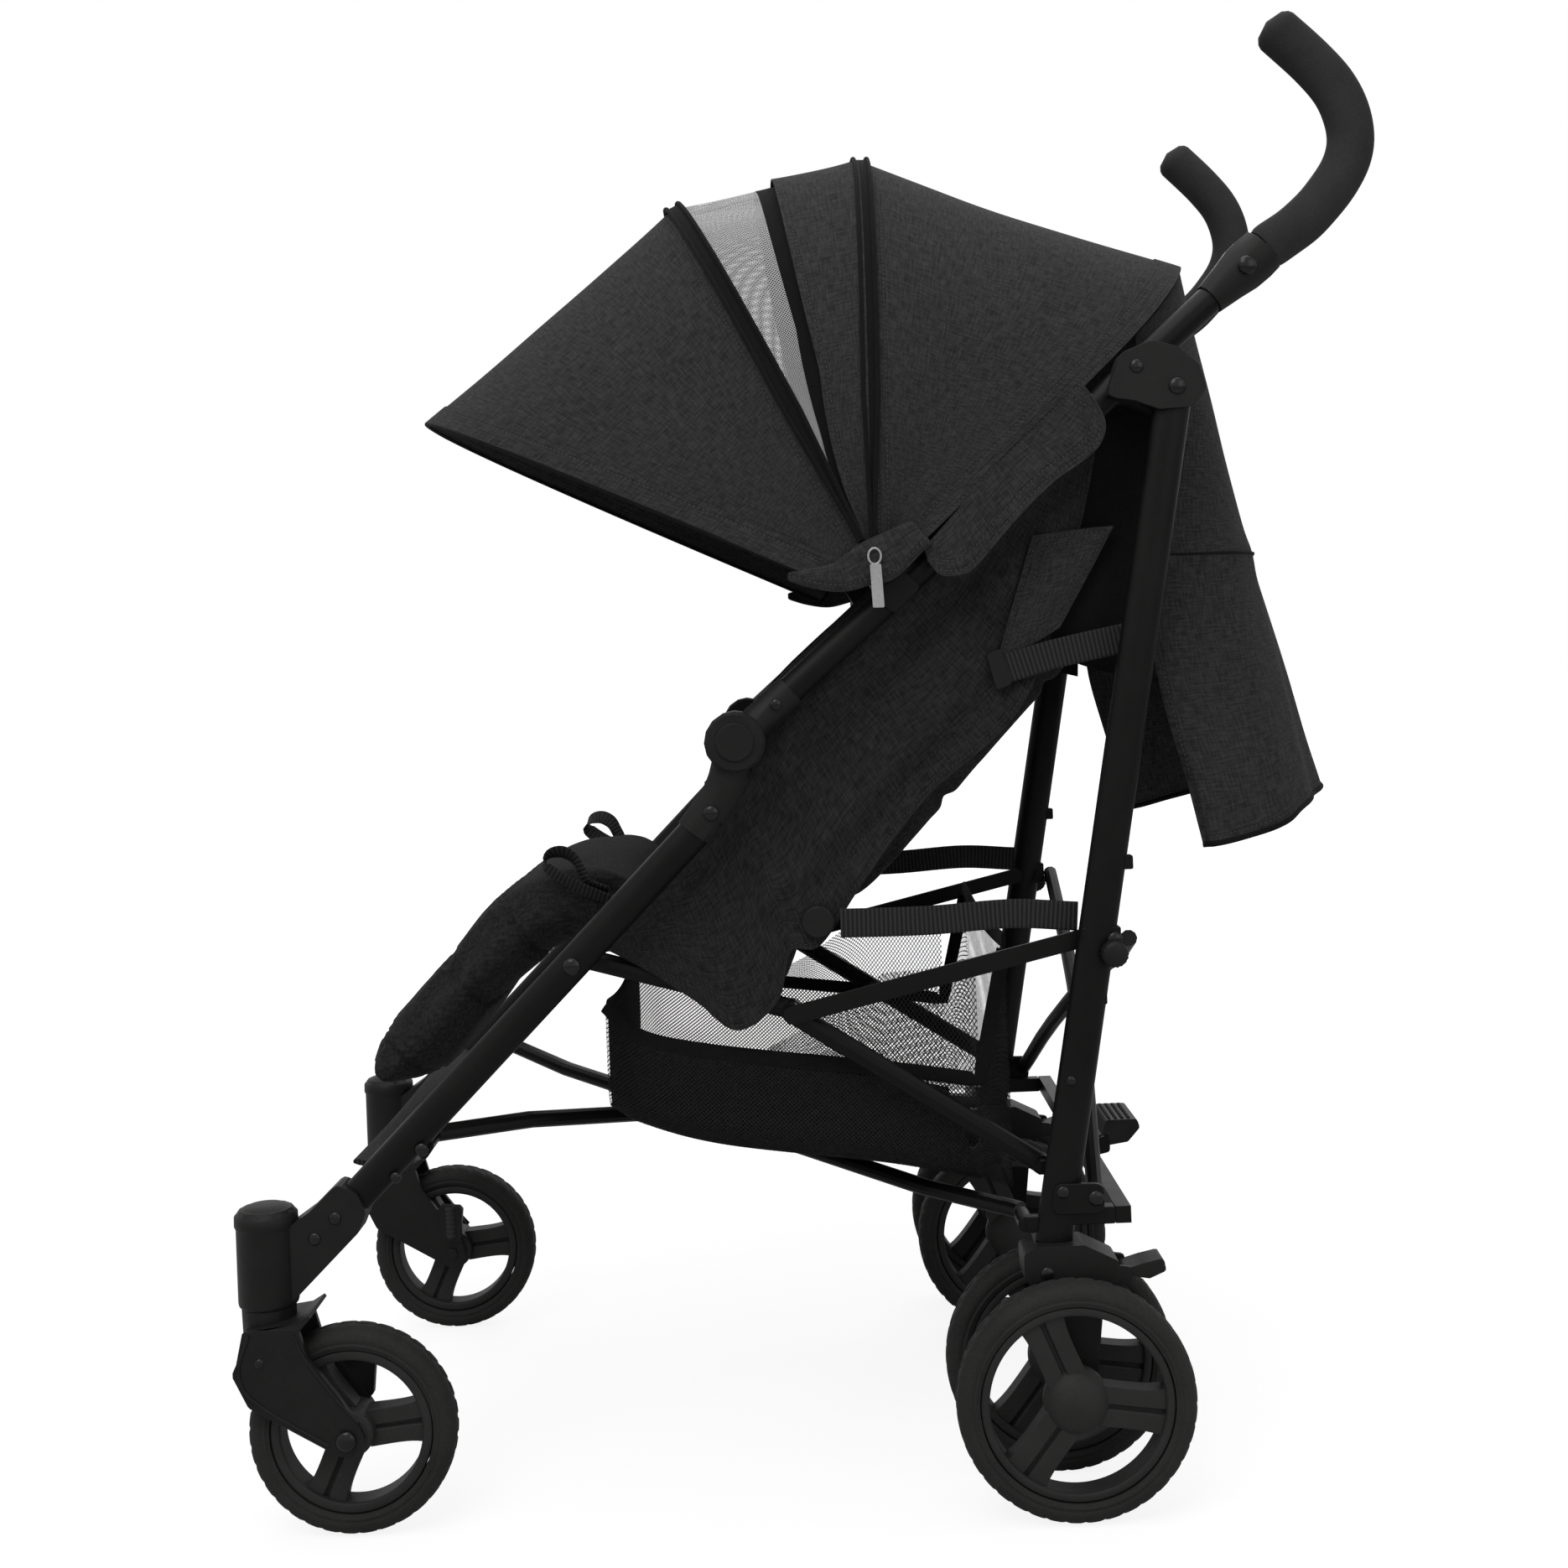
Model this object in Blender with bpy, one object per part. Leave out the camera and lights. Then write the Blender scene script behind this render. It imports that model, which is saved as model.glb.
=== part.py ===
"""Umbrella-fold buggy with swivelling front casters and twin rear wheels.

Metres, +Z up, +X to the rider's left, -Y to the front. Side points are (y, z)
in the side frame's own plane; the finished model is centred on its footprint.
"""
import math

import bmesh
import bpy
from mathutils import Vector

# Fits
GAP = 0.0003
RUN_GAP = 0.0005

# Side frames
TRACK = 0.205
HANDLE_LEAN = 0.015
CASTER_OUT = 0.003
UPPER_TUBE_R = 0.0105
LOWER_TUBE_DEEP = 0.012
LOWER_TUBE_WIDE = 0.009
LEG_DEEP = 0.0133
LEG_WIDE = 0.0085
SOCKET_DEPTH = 0.022

KNEE = (-0.040, 0.548)
KNEE_R = 0.0218
KNEE_CAP_R = 0.014
KNEE_HALF = 0.0155
TUBE_TOP = (-0.059, 0.497)
TUBE_FOOT = (-0.335, 0.221)
HANDLE_PIN = (0.336, 0.872)
GRIP_R = 0.0165
GRIP_PATH = ((0.355, 0.887), (0.381, 0.905), (0.403, 0.928), (0.416, 0.950), (0.4185, 0.972),
             (0.411, 0.996), (0.394, 1.019), (0.3665, 1.047))

# Leg pivot and rear legs
LEG_PIVOT = (0.281, 0.787)
LEG_FOOT = (0.172, 0.184)
FOLD_ANGLE = math.radians(25)
BRACKET_WALL = 0.0024

# Casters and front wheels
CASTER_AXIS_Y = -0.385
BARREL_R = 0.0205
BARREL_FOOT = 0.163
BARREL_TOP = 0.232
FRONT_HUB = (-0.328, 0.0735)
FRONT_WHEEL_R = 0.0735
FRONT_RIM_R = 0.0575
FRONT_OPENING_R = 0.050
FRONT_HUB_HALF = 0.0195
FORK_CHEEK = 0.0045

# Rear wheels
REAR_HUB = (0.180, 0.0835)
REAR_WHEEL_R = 0.0835
REAR_RIM_R = 0.0675
REAR_OPENING_R = 0.061
WHEEL_HALF = 0.0125
WHEEL_STEPS = 24
REAR_DOME_R = 0.023
REAR_HUB_INNER = 0.0135
TWIN_CENTRE = TRACK - 0.0125
TWIN_PITCH = 0.085
AXLE_R = 0.005
BRAKE_AXIS = (0.2215, 0.1635)

# Seat linkage: lateral layers from the leg inwards
LINK_X = TRACK - 0.0106
STAY_X = TRACK - 0.020
SEAT_TUBE_X = TRACK - 0.035
LINK_HALF = 0.0015
STAY_R = 0.0055
SEAT_TUBE_R = 0.0075
SEAT_PIVOT = (-0.161, 0.394)
STAY_PIVOT = (-0.007, 0.350)
STAY_FOOT = (0.168, 0.235)
LINK_FOOT = (0.201, 0.397)

# Cross bars under the basket and behind the legs
FLOOR_FRONT = (-0.272, 0.269)
FLOOR_REAR = (0.153, 0.1975)
FLOOR_FRONT_X = TRACK - 0.037
FLOOR_REAR_X = TRACK - 0.035
FLOOR_BOSS_R = 0.0055
FLOOR_BAR_TALL = 0.006
FLOOR_BAR_WIDE = 0.009
CROSS_LOW = (0.203, 0.219)
CROSS_HIGH = (0.234, 0.398)
CROSS_R = 0.006
CROSS_END_SHARE = 0.975
BRACE_Y = 0.222
BRACE_Z = 0.203
BRACE_DEEP = 0.0055
BRACE_TALL = 0.006
PEDAL_HALF = 0.030

# Hood
HOOD_PIVOT = (0.062, 0.670)
HOOD_LAYERS = (TRACK + 0.0090, TRACK + 0.0110, TRACK + 0.0130)
HOOD_SKIN = 0.0016
HOOD_SQUARENESS = 2.6
HOOD_STEPS = 18
BOW_HALF = 0.003
BOW_SKIN = 0.0008
BOW_EYE_R = 0.0075
HOOD_FOOT_TURN = 1.3
HOOD_SEAM = 0.0006
HOOD_RISE = 0.0020
REAR_BOW_ANGLE = 88.5
REAR_BOW_H = 0.322
MIDDLE_BOW_ANGLE = 115.6
MIDDLE_BOW_H = 0.322
FRONT_BOW_ANGLE = 156.5
FRONT_BOW_H = 0.343
HEM_BASE = (0.045, 0.650)
HEM_ANGLE = 155.0
HEM_H = FRONT_BOW_H + 0.017
BACK_BASE = (0.084, 0.672)
BACK_ANGLE = 41.5
BACK_CROWN_TURN = 3.0
BACK_H = 0.326

# Soft parts
SIDE_PANEL_X = TRACK - 0.0245
SIDE_PANEL_HALF = 0.0015
SEAT_TOP = 0.420
SEAT_CROWN = 0.014
CUSHION = 0.032
RECLINE_PIVOT = (0.014, 0.415)
BACKREST_LENGTH = 0.355
BACKREST_HEEL_R = 0.0145
BACKREST_ANGLE = 46.5
BACKREST_HALF_WIDTH = SIDE_PANEL_X - 0.0145
LEGREST_PIVOT = (-0.141, 0.421)
LEGREST_R = 0.034
LEGREST_HALF_WIDTH = SIDE_PANEL_X - 0.0235
BASKET_WALL = 0.003
BASKET_HALF_WIDTH = TRACK - 0.040
BASKET_END_HALF_WIDTH = TRACK - 0.047
BASKET_NOSE_HALF_WIDTH = TRACK - 0.065
CURTAIN_SKIN = 0.003
CURTAIN_LEVELS = ((0.790, 0.336), (0.720, 0.352), (0.650, 0.369), (0.575, 0.386), (0.510, 0.398),
                  (0.458, 0.408))
CURTAIN_TRIM = 4
CURTAIN_TOP_HALF = TRACK - 0.049
CURTAIN_HEM_HALF = TRACK - 0.039
CURTAIN_TOP_FRONT = 0.287
CURTAIN_HEM_FRONT = 0.260
CURTAIN_FOLD = 0.004
CURTAIN_HEM_RISE = 0.034


# Meshes

def direction(degrees):
    """Unit (y, z) at an angle from +Y towards +Z."""
    return math.cos(math.radians(degrees)), math.sin(math.radians(degrees))


def along(start, unit, distance):
    return start[0] + unit[0] * distance, start[1] + unit[1] * distance


def unit_between(a, b):
    length = math.dist(a, b)
    return (b[0] - a[0]) / length, (b[1] - a[1]) / length


def lean(z):
    """Lateral place of the side frame's centre at height z: the handles lean inwards."""
    rise = max(0.0, (z - KNEE[1]) / (HANDLE_PIN[1] - KNEE[1]))
    return TRACK - HANDLE_LEAN * rise


def side_points(points, x=None):
    """Side (y, z) points as 3-D points, on plane x or on the leaning frame."""
    return [Vector((lean(z) if x is None else x, y, z)) for y, z in points]


def smooth_path(points, steps):
    """Catmull-Rom curve through the points, with its ends kept."""
    pts = [2 * points[0] - points[1]] + list(points) + [2 * points[-1] - points[-2]]
    out = []
    for a, b, c, d in zip(pts, pts[1:], pts[2:], pts[3:]):
        for i in range(steps):
            t = i / steps
            out.append(0.5 * ((2 * b) + (c - a) * t + (2 * a - 5 * b + 4 * c - d) * t ** 2
                              + (3 * b - a - 3 * c + d) * t ** 3))
    out.append(points[-1].copy())
    return out


def closed(bm):
    bmesh.ops.remove_doubles(bm, verts=bm.verts, dist=1e-6)
    bmesh.ops.recalc_face_normals(bm, faces=bm.faces)
    return bm


def loft(rings, caps=True, looped=False):
    """Skin a list of rings with equal point counts, closed round each ring."""
    bm = bmesh.new()
    verts = [[bm.verts.new(p) for p in ring] for ring in rings]
    count = len(verts[0])
    pairs = list(zip(verts, verts[1:]))
    if looped:
        pairs.append((verts[-1], verts[0]))
    for low, high in pairs:
        for i in range(count):
            j = (i + 1) % count
            bm.faces.new((low[i], low[j], high[j], high[i]))
    if caps and not looped:
        bm.faces.new(reversed(verts[0]))
        bm.faces.new(verts[-1])
    return closed(bm)


def sweep(path, wide, deep, sides=10, across=Vector((1, 0, 0))):
    """Tube of oval section along a path; wide lies across, deep in the bend's plane.

    Either half-size may be a list with one value for each point.
    """
    n = len(path)
    wides = wide if isinstance(wide, (list, tuple)) else [wide] * n
    deeps = deep if isinstance(deep, (list, tuple)) else [deep] * n
    rings = []
    for i, point in enumerate(path):
        tangent = (path[min(i + 1, n - 1)] - path[max(i - 1, 0)]).normalized()
        e1 = (across - across.dot(tangent) * tangent).normalized()
        e2 = tangent.cross(e1)
        rings.append([point + wides[i] * math.cos(a) * e1 + deeps[i] * math.sin(a) * e2
                      for a in (2 * math.pi * k / sides for k in range(sides))])
    return loft(rings)


def prism(outline, x0, x1):
    """A (y, z) outline extruded from x0 to x1."""
    bm = bmesh.new()
    face = bm.faces.new([bm.verts.new((x0, y, z)) for y, z in outline])
    result = bmesh.ops.extrude_face_region(bm, geom=[face])
    moved = [v for v in result["geom"] if isinstance(v, bmesh.types.BMVert)]
    bmesh.ops.translate(bm, verts=moved, vec=(x1 - x0, 0, 0))
    return closed(bm)


def box(x0, x1, y0, y1, z0, z1):
    return prism(((y0, z0), (y1, z0), (y1, z1), (y0, z1)), x0, x1)


def pin(centre, radius, x0, x1, sides=10, turn=0.0):
    """Cylinder along X about a side point."""
    outline = [(centre[0] + radius * math.cos(a), centre[1] + radius * math.sin(a))
               for a in (turn + 2 * math.pi * k / sides for k in range(sides))]
    return prism(outline, x0, x1)


def turned(profile, centre, steps, turn=0.0):
    """Spin a closed (radius, x) profile about the X axis through a side point."""
    rings = []
    for k in range(steps):
        a = turn + 2 * math.pi * k / steps
        rings.append([(x, centre[0] + r * math.cos(a), centre[1] + r * math.sin(a)) for r, x in profile])
    return loft(rings, looped=True)


def upright(centre, profile, sides=12):
    """Stack of circles about a vertical axis from a (radius, z) profile."""
    x, y = centre
    rings = [[(x + r * math.cos(a), y + r * math.sin(a), z)
              for a in (2 * math.pi * k / sides for k in range(sides))] for r, z in profile]
    return loft(rings)


def rounded(points, radius, steps=3):
    """Outline with each corner replaced by an arc."""
    out = []
    n = len(points)
    for i, corner in enumerate(points):
        before, after = points[i - 1], points[(i + 1) % n]
        u, v = unit_between(corner, before), unit_between(corner, after)
        angle = math.acos(max(-1.0, min(1.0, u[0] * v[0] + u[1] * v[1])))
        reach = radius / math.tan(angle / 2)
        limit = 0.48 * min(math.dist(corner, before), math.dist(corner, after))
        reach = min(reach, limit)
        a, b = along(corner, u, reach), along(corner, v, reach)
        for k in range(steps + 1):
            t = k / steps
            out.append(((1 - t) ** 2 * a[0] + 2 * t * (1 - t) * corner[0] + t * t * b[0],
                        (1 - t) ** 2 * a[1] + 2 * t * (1 - t) * corner[1] + t * t * b[1]))
    return out


def shell(grid, thickness):
    """A grid of 3-D points thickened into a closed skin on its inner side."""
    bm = bmesh.new()
    rows = [[bm.verts.new(p) for p in row] for row in grid]
    for low, high in zip(rows, rows[1:]):
        for i in range(len(low) - 1):
            bm.faces.new((low[i], low[i + 1], high[i + 1], high[i]))
    bmesh.ops.recalc_face_normals(bm, faces=bm.faces)
    bm.normal_update()
    bmesh.ops.solidify(bm, geom=list(bm.faces), thickness=thickness)
    return closed(bm)


def boolean(base, tools, operation):
    """Union or difference of closed meshes with Blender's exact solver."""
    collection = bpy.context.scene.collection
    mesh = bpy.data.meshes.new("base")
    base.to_mesh(mesh)
    base.free()
    target = bpy.data.objects.new("base", mesh)
    collection.objects.link(target)
    cutters = []
    for tool in tools:
        tool_mesh = bpy.data.meshes.new("tool")
        tool.to_mesh(tool_mesh)
        tool.free()
        cutter = bpy.data.objects.new("tool", tool_mesh)
        cutter.hide_render = True
        cutter.display_type = "WIRE"
        collection.objects.link(cutter)
        modifier = target.modifiers.new(operation.lower(), "BOOLEAN")
        modifier.operation = operation
        modifier.solver = "EXACT"
        modifier.object = cutter
        cutters.append(cutter)
    evaluated = target.evaluated_get(bpy.context.evaluated_depsgraph_get())
    result = bmesh.new()
    result.from_mesh(evaluated.to_mesh())
    evaluated.to_mesh_clear()
    for item in cutters + [target]:
        data = item.data
        bpy.data.objects.remove(item)
        bpy.data.meshes.remove(data)
    bmesh.ops.remove_doubles(result, verts=result.verts, dist=1e-6)
    bmesh.ops.dissolve_degenerate(result, dist=1e-6, edges=result.edges)
    return result


def joined(base, *parts):
    return boolean(base, parts, "UNION")


def drilled(base, *cutters):
    return boolean(base, cutters, "DIFFERENCE")


# Objects

def clear_scene():
    for item in list(bpy.data.objects):
        bpy.data.objects.remove(item)


def make_materials():
    looks = {
        "black_tube": ((0.022, 0.020, 0.019), 0.42, 0.6),
        "black_plastic": ((0.020, 0.020, 0.021), 0.48, 0.0),
        "grip_foam": ((0.018, 0.018, 0.018), 0.75, 0.0),
        "tyre": ((0.020, 0.019, 0.018), 0.80, 0.0),
        "wheel_plastic": ((0.024, 0.024, 0.025), 0.45, 0.0),
        "charcoal_fabric": ((0.035, 0.035, 0.036), 0.95, 0.0),
        "grey_mesh": ((0.42, 0.42, 0.42), 0.90, 0.0),
        "black_mesh": ((0.016, 0.016, 0.017), 0.90, 0.0),
    }
    made = {}
    for name, (colour, roughness, metallic) in looks.items():
        material = bpy.data.materials.new(name)
        material.use_nodes = True
        shader = material.node_tree.nodes["Principled BSDF"]
        shader.inputs["Base Color"].default_value = (*colour, 1.0)
        shader.inputs["Roughness"].default_value = roughness
        shader.inputs["Metallic"].default_value = metallic
        material.diffuse_color = (*colour, 1.0)
        made[name] = material
    return made


class Assembly:
    """Empties on the joint axes, and the objects that ride on them."""

    def __init__(self):
        self.materials = make_materials()
        self.bodies = {}

    def body(self, name, origin, parent=None):
        empty = bpy.data.objects.new(name + "_axis", None)
        empty.empty_display_size = 0.03
        bpy.context.scene.collection.objects.link(empty)
        origin = Vector(origin)
        empty.location = origin
        if parent:
            empty.parent = self.bodies[parent][0]
            empty.location = origin - self.bodies[parent][1]
        self.bodies[name] = (empty, origin)

    def add(self, name, bm, material, body="frame", mirror=False, smooth=35):
        if mirror:
            bmesh.ops.scale(bm, vec=(-1, 1, 1), verts=bm.verts)
            bmesh.ops.reverse_faces(bm, faces=bm.faces)
        empty, origin = self.bodies[body]
        bmesh.ops.translate(bm, vec=-origin, verts=bm.verts)
        mesh = bpy.data.meshes.new(name)
        bm.to_mesh(mesh)
        bm.free()
        mesh.shade_smooth()
        mesh.set_sharp_from_angle(angle=math.radians(smooth))
        mesh.materials.append(self.materials[material])
        item = bpy.data.objects.new(name, mesh)
        item.parent = empty
        bpy.context.scene.collection.objects.link(item)
        return item

    def centre_on_footprint(self):
        bpy.context.view_layer.update()
        ys = [(item.matrix_world @ vertex.co).y for item in bpy.data.objects if item.type == "MESH"
              for vertex in item.data.vertices]
        shift = -(min(ys) + max(ys)) / 2
        self.bodies["frame"][0].location.y += shift
        bpy.context.view_layer.update()
        return shift


# Side frames

def upper_tube(fit=0.0):
    """The straight upper tube, or the hole for it when fit is a clearance."""
    rise = unit_between(KNEE, HANDLE_PIN)
    path = side_points((along(KNEE, rise, KNEE_R - 0.006 - fit), along(HANDLE_PIN, rise, 0.010 + fit)))
    return sweep(path, UPPER_TUBE_R + fit, UPPER_TUBE_R + fit)


def hood_clip():
    """Clip on the upper tube that carries the hood's bows."""
    rise = unit_between(KNEE, HANDLE_PIN)
    side = -rise[1], rise[0]
    off = (HOOD_PIVOT[0] - KNEE[0]) * side[0] + (HOOD_PIVOT[1] - KNEE[1]) * side[1]
    foot = along(HOOD_PIVOT, side, -off)
    low = along(foot, side, -0.010)
    upper = along(along(HOOD_PIVOT, rise, 0.0085), side, 0.0085)
    lower = along(along(HOOD_PIVOT, rise, -0.0085), side, 0.0085)
    outline = (along(low, rise, -0.014), along(low, rise, 0.014), along(foot, rise, 0.014), upper, lower,
               along(foot, rise, -0.014))
    inner = lean(HOOD_PIVOT[1]) - UPPER_TUBE_R * 0.6
    return prism(rounded(outline, 0.005, 2), inner, HOOD_LAYERS[0] - BOW_SKIN - GAP)


def upper_tube_with_clip():
    return joined(upper_tube(), hood_clip())


def lower_oval(fit=0.0):
    """The oval lower tube, or the hole for it when fit is a clearance."""
    fall = unit_between(TUBE_TOP, TUBE_FOOT)
    path = side_points((along(TUBE_TOP, fall, -fit), along(TUBE_FOOT, fall, fit)), TRACK)
    return sweep(path, LOWER_TUBE_WIDE + fit, LOWER_TUBE_DEEP + fit, sides=14)


def lower_tube():
    tube = lower_oval()
    boss = pin(FLOOR_FRONT, 0.0065, FLOOR_FRONT_X + 0.0098, TRACK - 0.002)
    saddle = prism(rounded((along(FLOOR_FRONT, (1, 0), 0.008), along(FLOOR_FRONT, (0, 1), 0.011),
                            along(FLOOR_FRONT, (-1, 0), 0.012), along(FLOOR_FRONT, (0, -1), 0.011)), 0.004),
                   TRACK - LOWER_TUBE_WIDE - 0.002, TRACK - 0.001)
    return joined(tube, boss, saddle)


def knee():
    disc = turned_disc(KNEE, KNEE_R, TRACK - KNEE_HALF, TRACK + KNEE_HALF, 0.002)
    cap = turned_disc(KNEE, KNEE_CAP_R, TRACK, TRACK + KNEE_HALF + 0.002, 0.001)
    fall = unit_between(TUBE_TOP, TUBE_FOOT)
    bend = (KNEE[0] - 0.010, KNEE[1] - 0.034)
    socket = side_points((KNEE, bend, along(TUBE_TOP, fall, SOCKET_DEPTH - 0.004)), TRACK)
    lower = sweep(smooth_path(socket, 4), LOWER_TUBE_WIDE + 0.0022, LOWER_TUBE_DEEP + 0.0022)
    rise = unit_between(KNEE, HANDLE_PIN)
    end = along(KNEE, rise, KNEE_R + 0.032)
    upper = sweep(side_points((KNEE, along(KNEE, rise, KNEE_R + 0.008), end)),
                  UPPER_TUBE_R + 0.002, UPPER_TUBE_R + 0.002)
    return drilled(joined(disc, cap, lower, upper), upper_tube(GAP), lower_oval(GAP))


def turned_disc(centre, radius, x0, x1, bevel, sides=16):
    """Flat disc along X with both rims chamfered."""
    steps = ((radius - bevel, x0), (radius, x0 + bevel), (radius, x1 - bevel), (radius - bevel, x1))
    rings = [[(x, centre[0] + r * math.cos(a), centre[1] + r * math.sin(a))
              for a in (2 * math.pi * k / sides for k in range(sides))] for r, x in steps]
    return loft(rings)


def handle_socket():
    rise = unit_between(KNEE, HANDLE_PIN)
    stops = (along(HANDLE_PIN, rise, -0.032), along(HANDLE_PIN, rise, -0.012), HANDLE_PIN,
             along(HANDLE_PIN, rise, 0.010), along(HANDLE_PIN, rise, 0.020))
    body = sweep(side_points(stops), [0.0122, 0.0150, 0.0165, 0.0175, 0.0172],
                 [0.0122, 0.0155, 0.0180, 0.0185, 0.0178])
    return drilled(body, upper_tube(GAP))


def handle_grip():
    rise = unit_between(KNEE, HANDLE_PIN)
    start = along(HANDLE_PIN, rise, 0.020 + GAP)
    path = smooth_path(side_points((start,) + GRIP_PATH[1:]), 2)
    path.insert(1, side_points((along(start, rise, 0.003),))[0])
    tip = path[-1]
    ahead = (tip - path[-2]).normalized()
    path = path[:-1] + [tip - ahead * 0.004, tip]
    sizes = [GRIP_R] * (len(path) - 1) + [GRIP_R * 0.78]
    return sweep(path, sizes, sizes, sides=12)


def leg_bracket():
    """Moulded bracket round the upper tube, with a slot where the rear leg swings."""
    offsets = ((-0.051, -0.006), (-0.038, 0.025), (-0.017, 0.033), (0.001, 0.028), (0.016, 0.015),
               (0.021, -0.002), (0.011, -0.015), (-0.013, -0.016), (-0.031, -0.009))
    outline = [(LEG_PIVOT[0] + y, LEG_PIVOT[1] + z) for y, z in offsets]
    inner = lean(LEG_PIVOT[1]) - UPPER_TUBE_R - BRACKET_WALL
    outer = TRACK + LEG_WIDE + GAP + BRACKET_WALL
    return drilled(prism(rounded(outline, 0.006, 2), inner, outer), upper_tube(GAP), leg_swing_room())


def leg_swing_room():
    """Room for the leg's head from rest to full fold."""
    down = unit_between(LEG_PIVOT, LEG_FOOT)
    angle = math.atan2(down[1], down[0])
    folded = math.cos(angle - FOLD_ANGLE), math.sin(angle - FOLD_ANGLE)
    reach = LEG_DEEP + 0.0012
    first, last = angle + math.pi / 2, angle - math.pi / 2 - FOLD_ANGLE + 2 * math.pi
    arc = []
    for k in range(11):
        a = first + (last - first) * k / 10
        arc.append((LEG_PIVOT[0] + reach * math.cos(a), LEG_PIVOT[1] + reach * math.sin(a)))
    outline = [along(arc[0], down, 0.05)] + arc + [along(arc[-1], folded, 0.05)]
    return prism(outline, TRACK - LEG_WIDE - GAP, TRACK + LEG_WIDE + GAP)


# Casters

def caster_head():
    centre = (TRACK + CASTER_OUT, CASTER_AXIS_Y)
    barrel = upright(centre, ((BARREL_R - 0.001, BARREL_FOOT), (BARREL_R, BARREL_FOOT + 0.002),
                              (BARREL_R, BARREL_TOP - 0.014), (BARREL_R + 0.001, BARREL_TOP - 0.012),
                              (BARREL_R + 0.001, BARREL_TOP - 0.005), (BARREL_R - 0.002, BARREL_TOP - 0.001),
                              (BARREL_R - 0.007, BARREL_TOP)))
    outline = ((-0.380, 0.168), (-0.366, 0.166), (-0.318, 0.213), (-0.312, 0.227), (-0.318, 0.240),
               (-0.332, 0.248), (-0.352, 0.229), (-0.380, 0.210))
    housing = prism(rounded(outline, 0.005, 2), TRACK - 0.0125, TRACK + 0.0125)
    return drilled(joined(barrel, housing), lower_oval(GAP))


def fork_outline():
    axle = FRONT_HUB
    lobe = [(axle[0] + 0.0125 * math.cos(a), axle[1] + 0.0125 * math.sin(a))
            for a in (math.radians(d) for d in (-115, -75, -35, 5, 40))]
    return [(-0.392, 0.152), (-0.4065, 0.1215), (-0.3955, 0.0985)] + lobe + \
        [(-0.3325, 0.104), (-0.3535, 0.132), (-0.3590, 0.152)]


def fork():
    """Two cheeks round the wheel under a neck, with a mudguard horn and a spring post."""
    x = TRACK + CASTER_OUT
    inner = FRONT_HUB_HALF + RUN_GAP
    outline = rounded(fork_outline(), 0.004, 1)
    cheeks = [prism(outline, x + s * inner, x + s * (inner + FORK_CHEEK)) for s in (-1, 1)]
    neck = upright((x, CASTER_AXIS_Y), ((BARREL_R - 0.0015, 0.146), (BARREL_R - 0.001, BARREL_FOOT - GAP)))
    crown = prism(rounded(((-0.398, 0.151), (-0.4045, 0.1225), (-0.388, 0.134), (-0.362, 0.1465),
                           (-0.344, 0.1655), (-0.360, 0.1560)), 0.0015, 1),
                  x - inner - FORK_CHEEK + 0.0003, x + inner + FORK_CHEEK - 0.0003)
    bolt = pin(FRONT_HUB, AXLE_R, x - inner - FORK_CHEEK - 0.002, x + inner + FORK_CHEEK + 0.002, 12)
    hub_y, hub_z = FRONT_HUB
    post = prism(rounded(((hub_y - 0.007, hub_z + 0.012), (hub_y + 0.009, hub_z + 0.012),
                          (hub_y + 0.012, hub_z + 0.043), (hub_y - 0.011, hub_z + 0.045)), 0.003, 1),
                 x - inner - FORK_CHEEK - 0.004, x - inner - 0.001)
    return joined(neck, crown, *cheeks, bolt, post)


# Wheels

def tyre(hub, radius, rim_radius, x):
    """Round-shouldered tyre."""
    w = WHEEL_HALF
    profile = ((rim_radius + GAP, x - w * 0.80), (radius - 0.007, x - w), (radius - 0.002, x - w * 0.72),
               (radius, x - w * 0.30), (radius, x + w * 0.30), (radius - 0.002, x + w * 0.72),
               (radius - 0.007, x + w), (rim_radius + GAP, x + w * 0.80))
    return turned(profile, hub, WHEEL_STEPS)


def spoke(hub, angle, start, end, half, x, web, rib):
    """Straight spoke of H section: a web of half thickness between two ribs."""
    unit, side = direction(angle), direction(angle + 90)
    edge = 0.58
    section = ((-1, -rib), (-1, rib), (-edge, rib), (-edge, web), (edge, web), (edge, rib),
               (1, rib), (1, -rib), (edge, -rib), (edge, -web), (-edge, -web), (-edge, -rib))
    rings = []
    for reach in (start, end):
        centre = along(hub, unit, reach)
        rings.append([(x + dx, *along(centre, side, s * half)) for s, dx in section])
    return loft(rings)


def rim(hub, rim_radius, opening, x, angles, spoke_half, hub_profile):
    """Rim ring, ribbed spokes and a turned hub."""
    w = WHEEL_HALF
    ring = turned(((opening, x - w * 0.72), (rim_radius, x - w * 0.78), (rim_radius, x + w * 0.78),
                   (opening, x + w * 0.72)), hub, WHEEL_STEPS)
    rings = [[(x + px, hub[0] + r * math.cos(a), hub[1] + r * math.sin(a))
              for a in (2 * math.pi * k / 12 for k in range(12))] for r, px in hub_profile]
    spokes = [spoke(hub, angle, hub_profile[1][0] * 0.6, opening + 0.002, spoke_half, x, w * 0.40, w * 0.60)
              for angle in angles]
    return joined(ring, loft(rings), *spokes)


def front_rim():
    x = TRACK + CASTER_OUT
    profile = ((0.0125, -FRONT_HUB_HALF), (0.0160, -FRONT_HUB_HALF + 0.003), (0.0165, 0.0),
               (0.0160, FRONT_HUB_HALF - 0.003), (0.0125, FRONT_HUB_HALF))
    solid = rim(FRONT_HUB, FRONT_RIM_R, FRONT_OPENING_R, x, (6, 126, 246), 0.0125, profile)
    return drilled(solid, pin(FRONT_HUB, AXLE_R + 0.0004, x - 0.03, x + 0.03, 12))


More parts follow.
